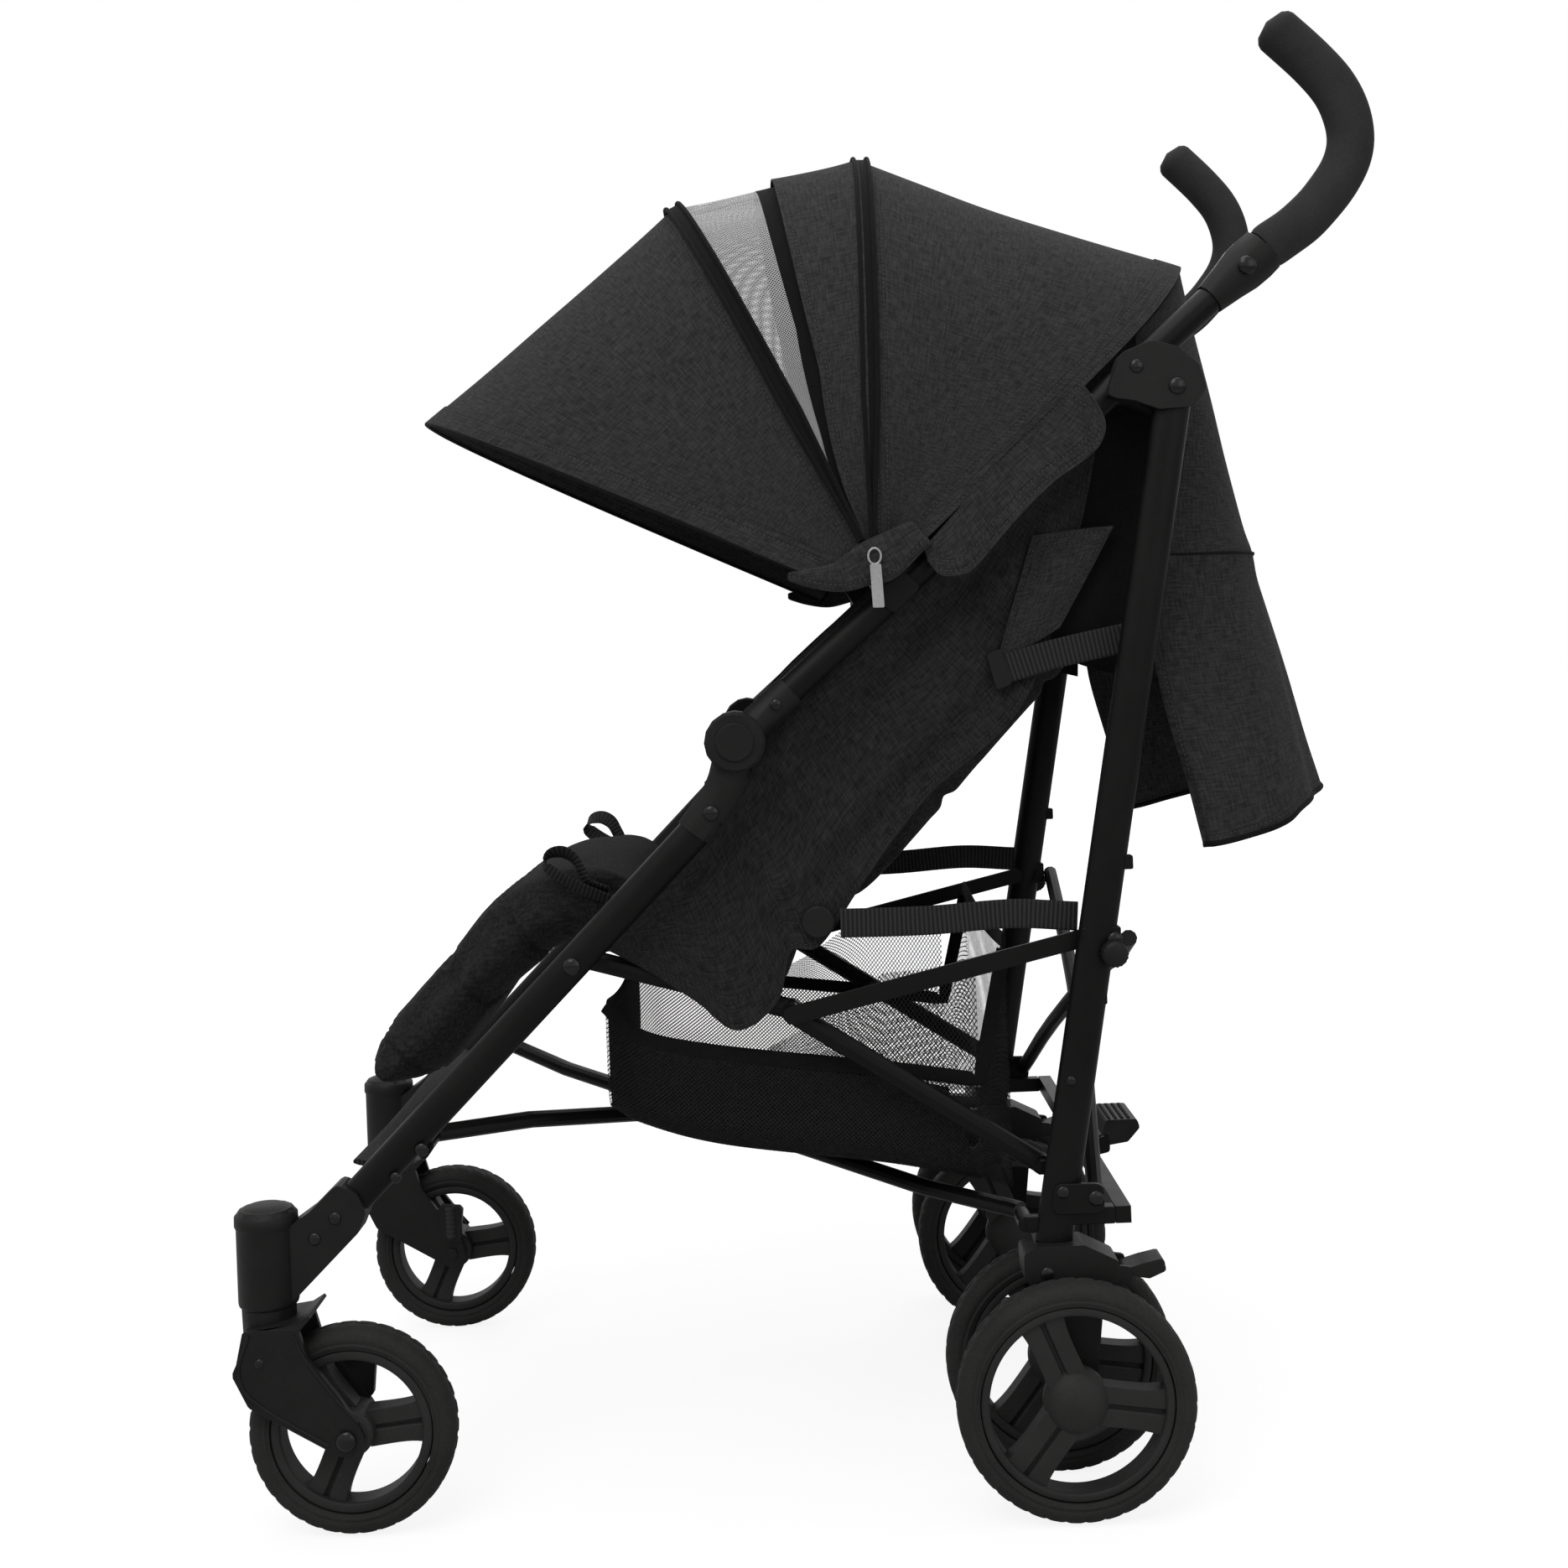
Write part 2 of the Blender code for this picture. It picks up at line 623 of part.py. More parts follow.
def rear_rim(x, outward):
    """Rim with a domed hub cap outside and a blind bore for the stub axle inside."""
    o = outward
    profile = ((REAR_DOME_R - 0.006, -REAR_HUB_INNER * o), (REAR_DOME_R - 0.004, -0.011 * o),
               (REAR_DOME_R, 0.006 * o), (REAR_DOME_R - 0.001, 0.0105 * o), (REAR_DOME_R - 0.007, 0.0140 * o),
               (REAR_DOME_R - 0.016, 0.0158 * o))
    solid = rim(REAR_HUB, REAR_RIM_R, REAR_OPENING_R, x, (-8, 112, 232), 0.0135, profile)
    return drilled(solid, pin(REAR_HUB, AXLE_R + 0.0004, x - 0.030 * o, x + 0.004 * o, 12))


# Rear frame

def rear_leg():
    """Oval leg with lugs behind it for the cross bars and the brace."""
    rise = unit_between(LEG_FOOT, LEG_PIVOT)
    stops = (LEG_FOOT, along(LEG_PIVOT, rise, -0.010), along(LEG_PIVOT, rise, 0.004),
             along(LEG_PIVOT, rise, 0.011))
    deeps = [LEG_DEEP, LEG_DEEP, LEG_DEEP * 0.9, LEG_DEEP * 0.5]
    leg = sweep(side_points(stops, TRACK), [LEG_WIDE] * len(stops), deeps, sides=12)
    plate = prism(rounded(((0.173, 0.228), (0.208, 0.227), (0.208, 0.206), (0.171, 0.206)), 0.006, 2),
                  TRACK + LEG_WIDE - 0.003, TRACK + LEG_WIDE + 0.0018)
    catch_y = CROSS_HIGH[0] - CROSS_R - GAP
    catch = box(TRACK - 0.006, TRACK + 0.006, 0.200, catch_y, CROSS_HIGH[1] - 0.009, CROSS_HIGH[1] + 0.009)
    lug = box(TRACK - 0.006, TRACK + 0.005, 0.176, BRACE_Y - BRACE_DEEP - GAP,
              BRACE_Z - BRACE_TALL, BRACE_Z + BRACE_TALL)
    track = box(TRACK - 0.004, TRACK + 0.004, 0.200, 0.2165, 0.352, 0.385)
    nub = box(TRACK - 0.004, TRACK + 0.004, 0.220, 0.2385, 0.447, 0.457)
    arm = box(TRACK - 0.006, TRACK + 0.002, FLOOR_REAR[0], LEG_FOOT[0],
              FLOOR_REAR[1] - FLOOR_BOSS_R, FLOOR_REAR[1] + FLOOR_BOSS_R)
    boss = pin(FLOOR_REAR, FLOOR_BOSS_R, FLOOR_REAR_X + FLOOR_BAR_WIDE + GAP, TRACK + 0.001)
    return joined(leg, plate, catch, lug, track, nub, arm, boss)


def rear_cross(side):
    """Tube from the low pivot of one leg to the high catch of the other, bowed to pass its twin."""
    shift = Vector((0, side * (CROSS_R + RUN_GAP), 0))
    low = Vector((side * TRACK, *CROSS_LOW))
    high = Vector((-side * TRACK, *CROSS_HIGH))
    shares = (0.0, 0.08, 0.28, 0.42, 0.5, 0.58, 0.72, 0.92, 1.0)
    bows = (0.0, 0.2, 0.8, 1.0, 1.0, 1.0, 0.8, 0.2, 0.0)
    path = [low.lerp(high, t) + shift * b for t, b in zip(shares, bows)]
    path[-2].y = max(path[-2].y, low.y + (high.y - low.y) * CROSS_END_SHARE)
    tube = sweep(path, CROSS_R, CROSS_R, sides=10, across=Vector((0, 1, 0)))
    low_pin = pin(CROSS_LOW, 0.004, side * (TRACK - 0.002), side * (TRACK + LEG_WIDE - 0.003 - GAP), 10)
    return joined(tube, low_pin)


def lock_brace():
    """Brace between the legs with two ears for the foot pedal."""
    reach = TRACK + 0.004
    bar = box(-reach, reach, BRACE_Y - BRACE_DEEP, BRACE_Y + BRACE_DEEP,
              BRACE_Z - BRACE_TALL, BRACE_Z + BRACE_TALL)
    outline = ((BRACE_Y, BRACE_Z - BRACE_TALL), (BRACE_Y + 0.020, BRACE_Z - 0.002),
               (BRACE_Y + 0.020, BRACE_Z + 0.012), (BRACE_Y, BRACE_Z + BRACE_TALL))
    ears = [prism(rounded(outline, 0.003, 2), s * (PEDAL_HALF + GAP), s * (PEDAL_HALF + 0.004))
            for s in (-1, 1)]
    return joined(bar, *ears)


def pedal_axis():
    return BRACE_Y + 0.0135, BRACE_Z + 0.005


def fold_pedal():
    """Wedge foot pedal on a barrel between the brace's ears."""
    y, z = pedal_axis()
    barrel = pin((y, z), 0.006, -PEDAL_HALF, PEDAL_HALF, 14)
    wedge = prism(rounded(((y + 0.001, z + 0.005), (y + 0.005, z + 0.017), (y + 0.030, z + 0.017),
                           (y + 0.032, z + 0.010), (y + 0.022, z - 0.001), (y + 0.001, z - 0.004)), 0.003, 2),
                  -PEDAL_HALF + 0.002, PEDAL_HALF - 0.002)
    return joined(barrel, wedge)


def axle_housing():
    """Block round the leg's foot, with an arm down to the stub axles and ears for the brake."""
    x = TRACK
    block = prism(rounded(((0.149, 0.161), (0.149, 0.181), (0.158, 0.186), (0.192, 0.186), (0.216, 0.174),
                           (0.216, 0.158), (0.200, 0.156)), 0.004, 2), x - 0.0165, x + 0.0165)
    arm = prism(rounded(((0.158, 0.160), (0.206, 0.160), (0.196, 0.075), (0.180, 0.066), (0.164, 0.075)),
                        0.008, 2), x - 0.0140, x + 0.0140)
    boss_half = TWIN_PITCH / 2 - REAR_HUB_INNER - RUN_GAP
    boss = pin(REAR_HUB, 0.0125, TWIN_CENTRE - boss_half, TWIN_CENTRE + boss_half)
    axle_half = TWIN_PITCH / 2 + 0.002
    axle = pin(REAR_HUB, AXLE_R, TWIN_CENTRE - axle_half, TWIN_CENTRE + axle_half)
    ears = [prism(rounded(((0.208, 0.158), (0.2245, 0.1575), (0.2245, 0.1695), (0.208, 0.172)), 0.003, 2),
                  x + s * 0.0125, x + s * 0.0160) for s in (-1, 1)]
    foot = sweep(side_points((along(LEG_FOOT, unit_between(LEG_PIVOT, LEG_FOOT), GAP), LEG_PIVOT), TRACK),
                 LEG_WIDE + GAP, LEG_DEEP + GAP, sides=12)
    return drilled(joined(block, arm, boss, axle, *ears), foot)


def brake_pedal():
    y, z = BRAKE_AXIS
    barrel = pin(BRAKE_AXIS, 0.0042, TRACK - 0.0122, TRACK + 0.0122, 12)
    paddle = prism(rounded(((y - 0.002, z - 0.001), (y + 0.016, z - 0.004), (y + 0.028, z + 0.001),
                            (y + 0.0265, z + 0.010), (y + 0.012, z + 0.007), (y, z + 0.0035)), 0.0025, 2),
                   TRACK - 0.0118, TRACK + 0.0118)
    return joined(barrel, paddle)


def wheel_planes():
    """Lateral places of the twin wheels, outer one first, with their outward side."""
    return (("outer", TWIN_CENTRE + TWIN_PITCH / 2, 1), ("inner", TWIN_CENTRE - TWIN_PITCH / 2, -1))


# Folding seat linkage

def seat_tube():
    tube = sweep(side_points((SEAT_PIVOT, STAY_PIVOT), SEAT_TUBE_X), SEAT_TUBE_R, SEAT_TUBE_R, sides=12)
    front = pin(SEAT_PIVOT, 0.006, SEAT_TUBE_X, TRACK - LOWER_TUBE_WIDE - GAP)
    front_end = pin(SEAT_PIVOT, SEAT_TUBE_R, SEAT_TUBE_X - 0.005, SEAT_TUBE_X + 0.005)
    rear_end = pin(STAY_PIVOT, SEAT_TUBE_R, SEAT_TUBE_X - 0.005, SEAT_TUBE_X + 0.005)
    rear = pin(STAY_PIVOT, 0.005, SEAT_TUBE_X, STAY_X - STAY_R - GAP)
    return joined(tube, front, front_end, rear_end, rear)


def stay():
    tube = sweep(side_points((STAY_PIVOT, STAY_FOOT), STAY_X), STAY_R, STAY_R + 0.002, sides=12)
    head = pin(STAY_PIVOT, STAY_R + 0.0018, STAY_X - STAY_R * 0.9, STAY_X + STAY_R * 0.9)
    foot = pin(STAY_FOOT, 0.005, STAY_X, TRACK - LEG_WIDE - GAP)
    foot_end = pin(STAY_FOOT, STAY_R + 0.0018, STAY_X - STAY_R * 0.9, STAY_X + STAY_R * 0.9)
    return joined(tube, head, foot, foot_end)


def link():
    """Flat bar from the stay's head to the runner behind the leg."""
    unit = unit_between(STAY_PIVOT, LINK_FOOT)
    side = -unit[1], unit[0]
    tail = along(LINK_FOOT, unit, 0.006)
    nose = along(STAY_PIVOT, unit, -0.006)
    bar = prism(rounded((along(nose, side, -0.0065), along(tail, side, -0.0065), along(tail, side, 0.0065),
                         along(nose, side, 0.0065)), 0.0055, 2), LINK_X - LINK_HALF, LINK_X + LINK_HALF)
    head = pin(STAY_PIVOT, 0.004, STAY_X + STAY_R + GAP, LINK_X, 12)
    return joined(bar, head)


def floor_bar(side):
    """Flat tube from a front bracket across to the other leg; the pair is pinned in the middle."""
    lift = side * (FLOOR_BAR_TALL + GAP)
    front = Vector((side * FLOOR_FRONT_X, *FLOOR_FRONT))
    rear = Vector((-side * FLOOR_REAR_X, *FLOOR_REAR))
    middle = (front + rear) / 2 + Vector((0, 0, lift))
    path = [front, front.lerp(middle, 0.30) + Vector((0, 0, lift * 0.7)), middle,
            middle.lerp(rear, 0.70) + Vector((0, 0, lift * 0.7)), rear]
    bar = sweep(path, FLOOR_BAR_WIDE, FLOOR_BAR_TALL, sides=12, across=Vector((1, 0, 0)))
    front_pin = pin(FLOOR_FRONT, 0.0065, side * (FLOOR_FRONT_X - 0.004), side * (FLOOR_FRONT_X + 0.0095))
    return joined(bar, front_pin)


# Hood

def arch(base, angle, half_width, height, crown_turn=0.0):
    """Rounded-square arch in the plane through X at an angle.

    crown_turn tips the crown further than the sides, in degrees.
    """
    power = 2 / HOOD_SQUARENESS
    start = math.radians(HOOD_FOOT_TURN)
    points = []
    for k in range(HOOD_STEPS + 1):
        t = start + (math.pi - 2 * start) * k / HOOD_STEPS
        uy, uz = direction(angle + crown_turn * math.sin(t) ** 4)
        x = half_width * math.copysign(abs(math.cos(t)) ** power, math.cos(t))
        r = height * math.sin(t) ** power
        points.append(Vector((x, base[0] + uy * r, base[1] + uz * r)))
    return points


def bow(angle, half_width, height):
    """Flat strip bow with a round eye at each end on the hood's axis."""
    uy, uz = direction(angle)
    normal = Vector((0, -uz, uy))
    path = arch(HOOD_PIVOT, angle, half_width, height)
    feet = side_points((along(HOOD_PIVOT, (uy, uz), BOW_EYE_R * 0.5),), half_width)
    path = feet + path + [Vector((-feet[0].x, feet[0].y, feet[0].z))]
    rings = []
    for i, point in enumerate(path):
        tangent = (path[min(i + 1, len(path) - 1)] - path[max(i - 1, 0)]).normalized()
        outward = tangent.cross(normal)
        rings.append([point + BOW_SKIN * a * outward + BOW_HALF * b * normal
                      for a, b in ((-1, -1), (1, -1), (1, 1), (-1, 1))])
    eyes = [pin(HOOD_PIVOT, BOW_EYE_R, s * (half_width - BOW_SKIN), s * (half_width + BOW_SKIN))
            for s in (-1, 1)]
    return joined(loft(rings), *eyes)


def hood_arch(base, angle, layer, height, crown_turn=0.0):
    """Arch of the cloth just outside the bow of a layer."""
    lift = BOW_SKIN + HOOD_SKIN + HOOD_RISE
    return arch(base, angle, layer + lift, height + lift, crown_turn)


def hood_panel(first, last, rows, sag):
    """Cloth stretched between two arches, drawn in a little half way."""
    grid = []
    for j in range(rows + 1):
        t = j / rows
        row = []
        for a, b in zip(first, last):
            point = a.lerp(b, t)
            inward = Vector((0, HOOD_PIVOT[0] - point.y, HOOD_PIVOT[1] - point.z)).normalized()
            fade = 1 - abs(point.x / HOOD_LAYERS[0]) ** 4
            row.append(point + inward * (sag * 4 * t * (1 - t) * max(0.0, fade)))
        grid.append(row)
    return shell(grid, HOOD_SKIN)


def nudged(points, angle, distance):
    """Arch points moved along the arch plane's normal."""
    uy, uz = direction(angle + 90)
    return [point + Vector((0, uy * distance, uz * distance)) for point in points]


def hood_parts():
    low, mid, high = HOOD_LAYERS
    middle = hood_arch(HOOD_PIVOT, MIDDLE_BOW_ANGLE, mid, MIDDLE_BOW_H)
    rear = hood_arch(HOOD_PIVOT, REAR_BOW_ANGLE, low, REAR_BOW_H)
    hem = hood_arch(HEM_BASE, HEM_ANGLE, high + 2 * BOW_SKIN, HEM_H)
    back = hood_arch(BACK_BASE, BACK_ANGLE, low, BACK_H, BACK_CROWN_TURN)
    return {
        "hood_front": hood_panel(nudged(middle, MIDDLE_BOW_ANGLE, HOOD_SEAM), hem, 4, 0.002),
        "hood_window": hood_panel(nudged(rear, REAR_BOW_ANGLE, HOOD_SEAM),
                                  nudged(middle, MIDDLE_BOW_ANGLE, -HOOD_SEAM), 3, 0.002),
        "hood_back": hood_panel(back, nudged(rear, REAR_BOW_ANGLE, -HOOD_SEAM), 4, 0.002),
    }


def curtain():
    """Cover hanging from the hood's rear edge: a U in plan that opens out towards its hem."""
    inset = BOW_SKIN + HOOD_RISE - 2 * GAP
    edge = arch(BACK_BASE, BACK_ANGLE, HOOD_LAYERS[0] + inset, BACK_H + inset, BACK_CROWN_TURN)
    top = [point + Vector((0, 2 * GAP, -2 * GAP)) for point in edge[CURTAIN_TRIM:-CURTAIN_TRIM]]
    grid = [top]
    highest, lowest = CURTAIN_LEVELS[0][0], CURTAIN_LEVELS[-1][0]
    for z, back in CURTAIN_LEVELS:
        share = (highest - z) / (highest - lowest)
        half = CURTAIN_TOP_HALF + (CURTAIN_HEM_HALF - CURTAIN_TOP_HALF) * share
        front = CURTAIN_TOP_FRONT + (CURTAIN_HEM_FRONT - CURTAIN_TOP_FRONT) * share
        row = []
        for k in range(len(top)):
            t = math.pi * k / (len(top) - 1)
            x = half * math.copysign(abs(math.cos(t)) ** (2 / 3), math.cos(t))
            fold = CURTAIN_FOLD * share * math.sin(6 * t)
            y = front + (back - front) * math.sin(t) ** (2 / 3) + fold
            row.append(Vector((x, y, z + CURTAIN_HEM_RISE * share ** 3 * math.sin(t))))
        grid.append(row)
    return shell(grid, CURTAIN_SKIN)


# Seat and basket

def seat_side():
    """Cloth side, from the seat tube up to the hood."""
    outline = ((-0.142, 0.405), (-0.076, 0.360), (-0.047, 0.337), (-0.0165, 0.3590), (-0.006, 0.396),
               (0.016, 0.397), (0.054, 0.450), (0.098, 0.503), (0.154, 0.549), (0.182, 0.592), (0.205, 0.660),
               (0.226, 0.740), (0.224, 0.765), (0.204, 0.778), (0.060, 0.652), (-0.016, 0.582), (-0.055, 0.508),
               (-0.105, 0.459))
    return prism(rounded(outline, 0.006, 1), SIDE_PANEL_X - SIDE_PANEL_HALF, SIDE_PANEL_X + SIDE_PANEL_HALF)


def seat():
    """Padded base with a crown on the seat tubes, between two cloth sides."""
    fall = unit_between(SEAT_PIVOT, STAY_PIVOT)
    lift = SEAT_TUBE_R + GAP
    slope_drop = fall[1] / fall[0]
    start = LEGREST_PIVOT[0] + LEGREST_R + RUN_GAP
    end = RECLINE_PIVOT[0] - BACKREST_HEEL_R - RUN_GAP
    steps, across = 8, 12
    rings = []
    for k in range(steps + 1):
        t = k / steps
        y = start + (end - start) * t
        low = SEAT_PIVOT[1] + (y - SEAT_PIVOT[0]) * slope_drop + lift / fall[0]
        ring = []
        for i in range(across + 1):
            u = -1 + 2 * i / across
            puff = (1 - u ** 4) * (1 - (2 * t - 1) ** 6)
            ring.append(Vector((u * SIDE_PANEL_X, y, SEAT_TOP + SEAT_CROWN * puff)))
        ring.append(Vector((SIDE_PANEL_X, y, low)))
        ring.append(Vector((-SIDE_PANEL_X, y, low)))
        rings.append(ring)
    side = seat_side()
    other = side.copy()
    bmesh.ops.scale(other, vec=(-1, 1, 1), verts=other.verts)
    bmesh.ops.reverse_faces(other, faces=other.faces)
    return joined(loft(rings), side, other)


def padded_board(start, angle, length, half_width, thick, seams, long_steps=16, cross_steps=8):
    """Cushion with drawn-in sides, a crown and cross seams at the given shares of its length."""
    unit = direction(angle)
    side = direction(angle + 90)
    rings = []
    for k in range(long_steps + 1):
        t = k / long_steps
        end = 1 - abs(2 * t - 1) ** 8
        seam = 1 - 0.35 * sum(math.exp(-((t - s) / 0.022) ** 2) for s in seams)
        half = half_width * (0.93 + 0.07 * end)
        centre = along(start, unit, t * length)
        ring = []
        for i in range(2 * cross_steps):
            a = 2 * math.pi * i / (2 * cross_steps)
            u = math.copysign(abs(math.cos(a)) ** 0.45, math.cos(a))
            v = math.copysign(abs(math.sin(a)) ** 0.75, math.sin(a))
            reach = thick / 2 * (0.35 + 0.65 * end) * seam * v
            y, z = along(centre, side, reach)
            ring.append(Vector((u * half, y, z)))
        rings.append(ring)
    return loft(rings)


def backrest():
    """Back cushion on a rolled lower edge round the recline axis."""
    board = padded_board(RECLINE_PIVOT, BACKREST_ANGLE, BACKREST_LENGTH, BACKREST_HALF_WIDTH, CUSHION,
                         (0.36, 0.68))
    half = BACKREST_HALF_WIDTH * 0.97
    return joined(board, pin(RECLINE_PIVOT, BACKREST_HEEL_R, -half, half, 16))


def recline_hinge():
    x0 = SIDE_PANEL_X + SIDE_PANEL_HALF + GAP
    return turned_disc(RECLINE_PIVOT, 0.012, x0, x0 + 0.006, 0.0012)


def legrest():
    """Calf cushion that rolls over the seat's front edge and hangs down to the footrest."""
    spine = ((-0.141, 0.421), (-0.166, 0.4285), (-0.195, 0.4190), (-0.222, 0.3985), (-0.247, 0.3730),
             (-0.272, 0.3435), (-0.293, 0.3180), (-0.303, 0.3040))
    half = (0.034, 0.0285, 0.0265, 0.0275, 0.0225, 0.0265, 0.0260, 0.0150)
    points = smooth_path([Vector((0, y, z)) for y, z in spine], 2)
    n = len(points)
    widths = []
    for i in range(n):
        j = min(i // 2, len(half) - 2)
        widths.append(half[j] + (half[j + 1] - half[j]) * (i / 2 - j))
    rings = []
    for i, point in enumerate(points):
        tangent = (points[min(i + 1, n - 1)] - points[max(i - 1, 0)]).normalized()
        normal = Vector((0, -tangent.z, tangent.y))
        ring = []
        for k in range(16):
            a = 2 * math.pi * k / 16
            u = math.copysign(abs(math.cos(a)) ** 0.45, math.cos(a))
            v = math.copysign(abs(math.sin(a)) ** 0.75, math.sin(a))
            ring.append(point + Vector((u * LEGREST_HALF_WIDTH, 0, 0)) + normal * (widths[i] * v))
        rings.append(ring)
    heel = pin(LEGREST_PIVOT, LEGREST_R, -LEGREST_HALF_WIDTH * 0.94, LEGREST_HALF_WIDTH * 0.94, 16)
    return joined(loft(rings), heel)


def footrest():
    """Stiffened foot strap between the lower tubes."""
    reach = TRACK - LOWER_TUBE_WIDE - GAP
    outline = ((-0.325, 0.2545), (-0.300, 0.2480), (-0.288, 0.2520), (-0.288, 0.2570), (-0.300, 0.2530),
               (-0.325, 0.2600))
    return prism(outline, -reach, reach)


def basket():
    """Open tub with a sloping floor on the crossed bars and a raised rear wall."""
    cross_y = (FLOOR_FRONT[0] + FLOOR_REAR[0]) / 2
    cross_z = (FLOOR_FRONT[1] + FLOOR_REAR[1]) / 2 + 2 * FLOOR_BAR_TALL + 2 * GAP
    wide, end, nose = BASKET_HALF_WIDTH, BASKET_END_HALF_WIDTH, BASKET_NOSE_HALF_WIDTH
    stations = ((-0.146, 0.272, 0.352, nose), (-0.120, 0.262, 0.332, end), (cross_y, cross_z, 0.319, wide),
                (0.060, 0.228, 0.303, wide), (0.128, 0.2135, 0.292, wide), (0.152, 0.2095, 0.392, end))
    outer = [basket_ring(y, floor, top, half, 0.0) for y, floor, top, half in stations]
    first, last = stations[0], stations[-1]
    inner_stations = [(first[0] + BASKET_WALL, *first[1:])] + list(stations[1:-1]) + \
        [(last[0] - BASKET_WALL, last[1], 0.300, last[3])]
    inner = [basket_ring(y, floor, top + 0.12, half, BASKET_WALL) for y, floor, top, half in inner_stations]
    return drilled(loft(outer), loft(inner))


def basket_ring(y, floor, top, half, inset):
    h = half - inset
    low = floor + inset
    radius = 0.022
    side = ((h, top), (h, low + radius), (h - radius * 0.3, low + radius * 0.3), (h - radius, low))
    return [Vector((x, y, z)) for x, z in side] + [Vector((-x, y, z)) for x, z in reversed(side)]


# Assembly

def build():
    clear_scene()
    model = Assembly()
    caster_x = TRACK + CASTER_OUT
    model.body("frame", (0, 0, 0))
    model.body("rear_frame", (0, *LEG_PIVOT), "frame")
    model.body("seat_tubes", (0, *SEAT_PIVOT), "frame")
    model.body("stays", (0, *STAY_FOOT), "rear_frame")
    model.body("links", (0, *STAY_PIVOT), "stays")
    model.body("floor_bars", (0, *FLOOR_FRONT), "frame")
    model.body("fold_pedal", (0, *pedal_axis()), "rear_frame")
    model.body("bow_rear", (0, *HOOD_PIVOT), "frame")
    model.body("bow_middle", (0, *HOOD_PIVOT), "bow_rear")
    model.body("bow_front", (0, *HOOD_PIVOT), "bow_middle")
    model.body("backrest", (0, *RECLINE_PIVOT), "frame")
    model.body("legrest", (0, *LEGREST_PIVOT), "frame")

    for side, tag in ((1, "left"), (-1, "right")):
        flip = side < 0
        model.body("caster_" + tag, (side * caster_x, CASTER_AXIS_Y, BARREL_FOOT), "frame")
        model.body("front_wheel_" + tag, (side * caster_x, *FRONT_HUB), "caster_" + tag)
        model.body("brake_" + tag, (side * TRACK, *BRAKE_AXIS), "rear_frame")

        model.add("upper_tube_" + tag, upper_tube_with_clip(), "black_tube", mirror=flip)
        model.add("lower_tube_" + tag, lower_tube(), "black_tube", mirror=flip)
        model.add("knee_" + tag, knee(), "black_plastic", mirror=flip)
        model.add("handle_socket_" + tag, handle_socket(), "black_plastic", mirror=flip)
        model.add("handle_grip_" + tag, handle_grip(), "grip_foam", mirror=flip)
        model.add("leg_bracket_" + tag, leg_bracket(), "black_plastic", mirror=flip)
        model.add("caster_head_" + tag, caster_head(), "black_plastic", mirror=flip)
        model.add("recline_hinge_" + tag, recline_hinge(), "black_plastic", mirror=flip)

        model.add("fork_" + tag, fork(), "black_plastic", "caster_" + tag, flip)
        model.add("front_tyre_" + tag, tyre(FRONT_HUB, FRONT_WHEEL_R, FRONT_RIM_R, caster_x), "tyre",
                  "front_wheel_" + tag, flip)
        model.add("front_rim_" + tag, front_rim(), "wheel_plastic", "front_wheel_" + tag, flip)

        model.add("rear_leg_" + tag, rear_leg(), "black_tube", "rear_frame", flip)
        model.add("axle_housing_" + tag, axle_housing(), "black_plastic", "rear_frame", flip)
        model.add("rear_cross_" + tag, rear_cross(side), "black_tube", "rear_frame")
        model.add("brake_pedal_" + tag, brake_pedal(), "black_plastic", "brake_" + tag, flip)
        for name, x, outward in wheel_planes():
            body = "rear_wheel_" + name + "_" + tag
            model.body(body, (side * x, *REAR_HUB), "rear_frame")
            rubber = tyre(REAR_HUB, REAR_WHEEL_R, REAR_RIM_R, x)
            model.add("rear_tyre_" + name + "_" + tag, rubber, "tyre", body, flip)
            model.add("rear_rim_" + name + "_" + tag, rear_rim(x, outward), "wheel_plastic", body, flip)

        model.add("seat_tube_" + tag, seat_tube(), "black_tube", "seat_tubes", flip)
        model.add("stay_" + tag, stay(), "black_tube", "stays", flip)
        model.add("link_" + tag, link(), "black_tube", "links", flip)
        model.add("floor_bar_" + tag, floor_bar(side), "black_tube", "floor_bars")

    model.add("lock_brace", lock_brace(), "black_tube", "rear_frame")
    model.add("fold_pedal", fold_pedal(), "black_plastic", "fold_pedal")
    bows = (("bow_rear", REAR_BOW_ANGLE, REAR_BOW_H), ("bow_middle", MIDDLE_BOW_ANGLE, MIDDLE_BOW_H),
            ("bow_front", FRONT_BOW_ANGLE, FRONT_BOW_H))
    for (name, angle, height), x in zip(bows, HOOD_LAYERS):
        model.add(name, bow(angle, x, height), "black_plastic", name)
    panels = hood_parts()
    model.add("hood_front", panels["hood_front"], "charcoal_fabric", "bow_middle")
    model.add("hood_window", panels["hood_window"], "grey_mesh", "bow_rear")
    model.add("hood_back", panels["hood_back"], "charcoal_fabric")
    model.add("rear_curtain", curtain(), "charcoal_fabric")
    model.add("seat", seat(), "charcoal_fabric")
    model.add("backrest", backrest(), "charcoal_fabric", "backrest")
    model.add("legrest", legrest(), "charcoal_fabric", "legrest")
    model.add("footrest", footrest(), "black_plastic")
    model.add("basket", basket(), "black_mesh")
    shift = model.centre_on_footprint()
    print("footprint shift", round(shift, 6))
    meshes = [item.data for item in bpy.data.objects if item.type == "MESH"]
    total = sum(len(face.vertices) - 2 for mesh in meshes for face in mesh.polygons)
    print("triangles", total, "objects", len(meshes))


build()
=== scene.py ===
import math

import bmesh
import bpy
import numpy as np
from mathutils import Matrix, Vector


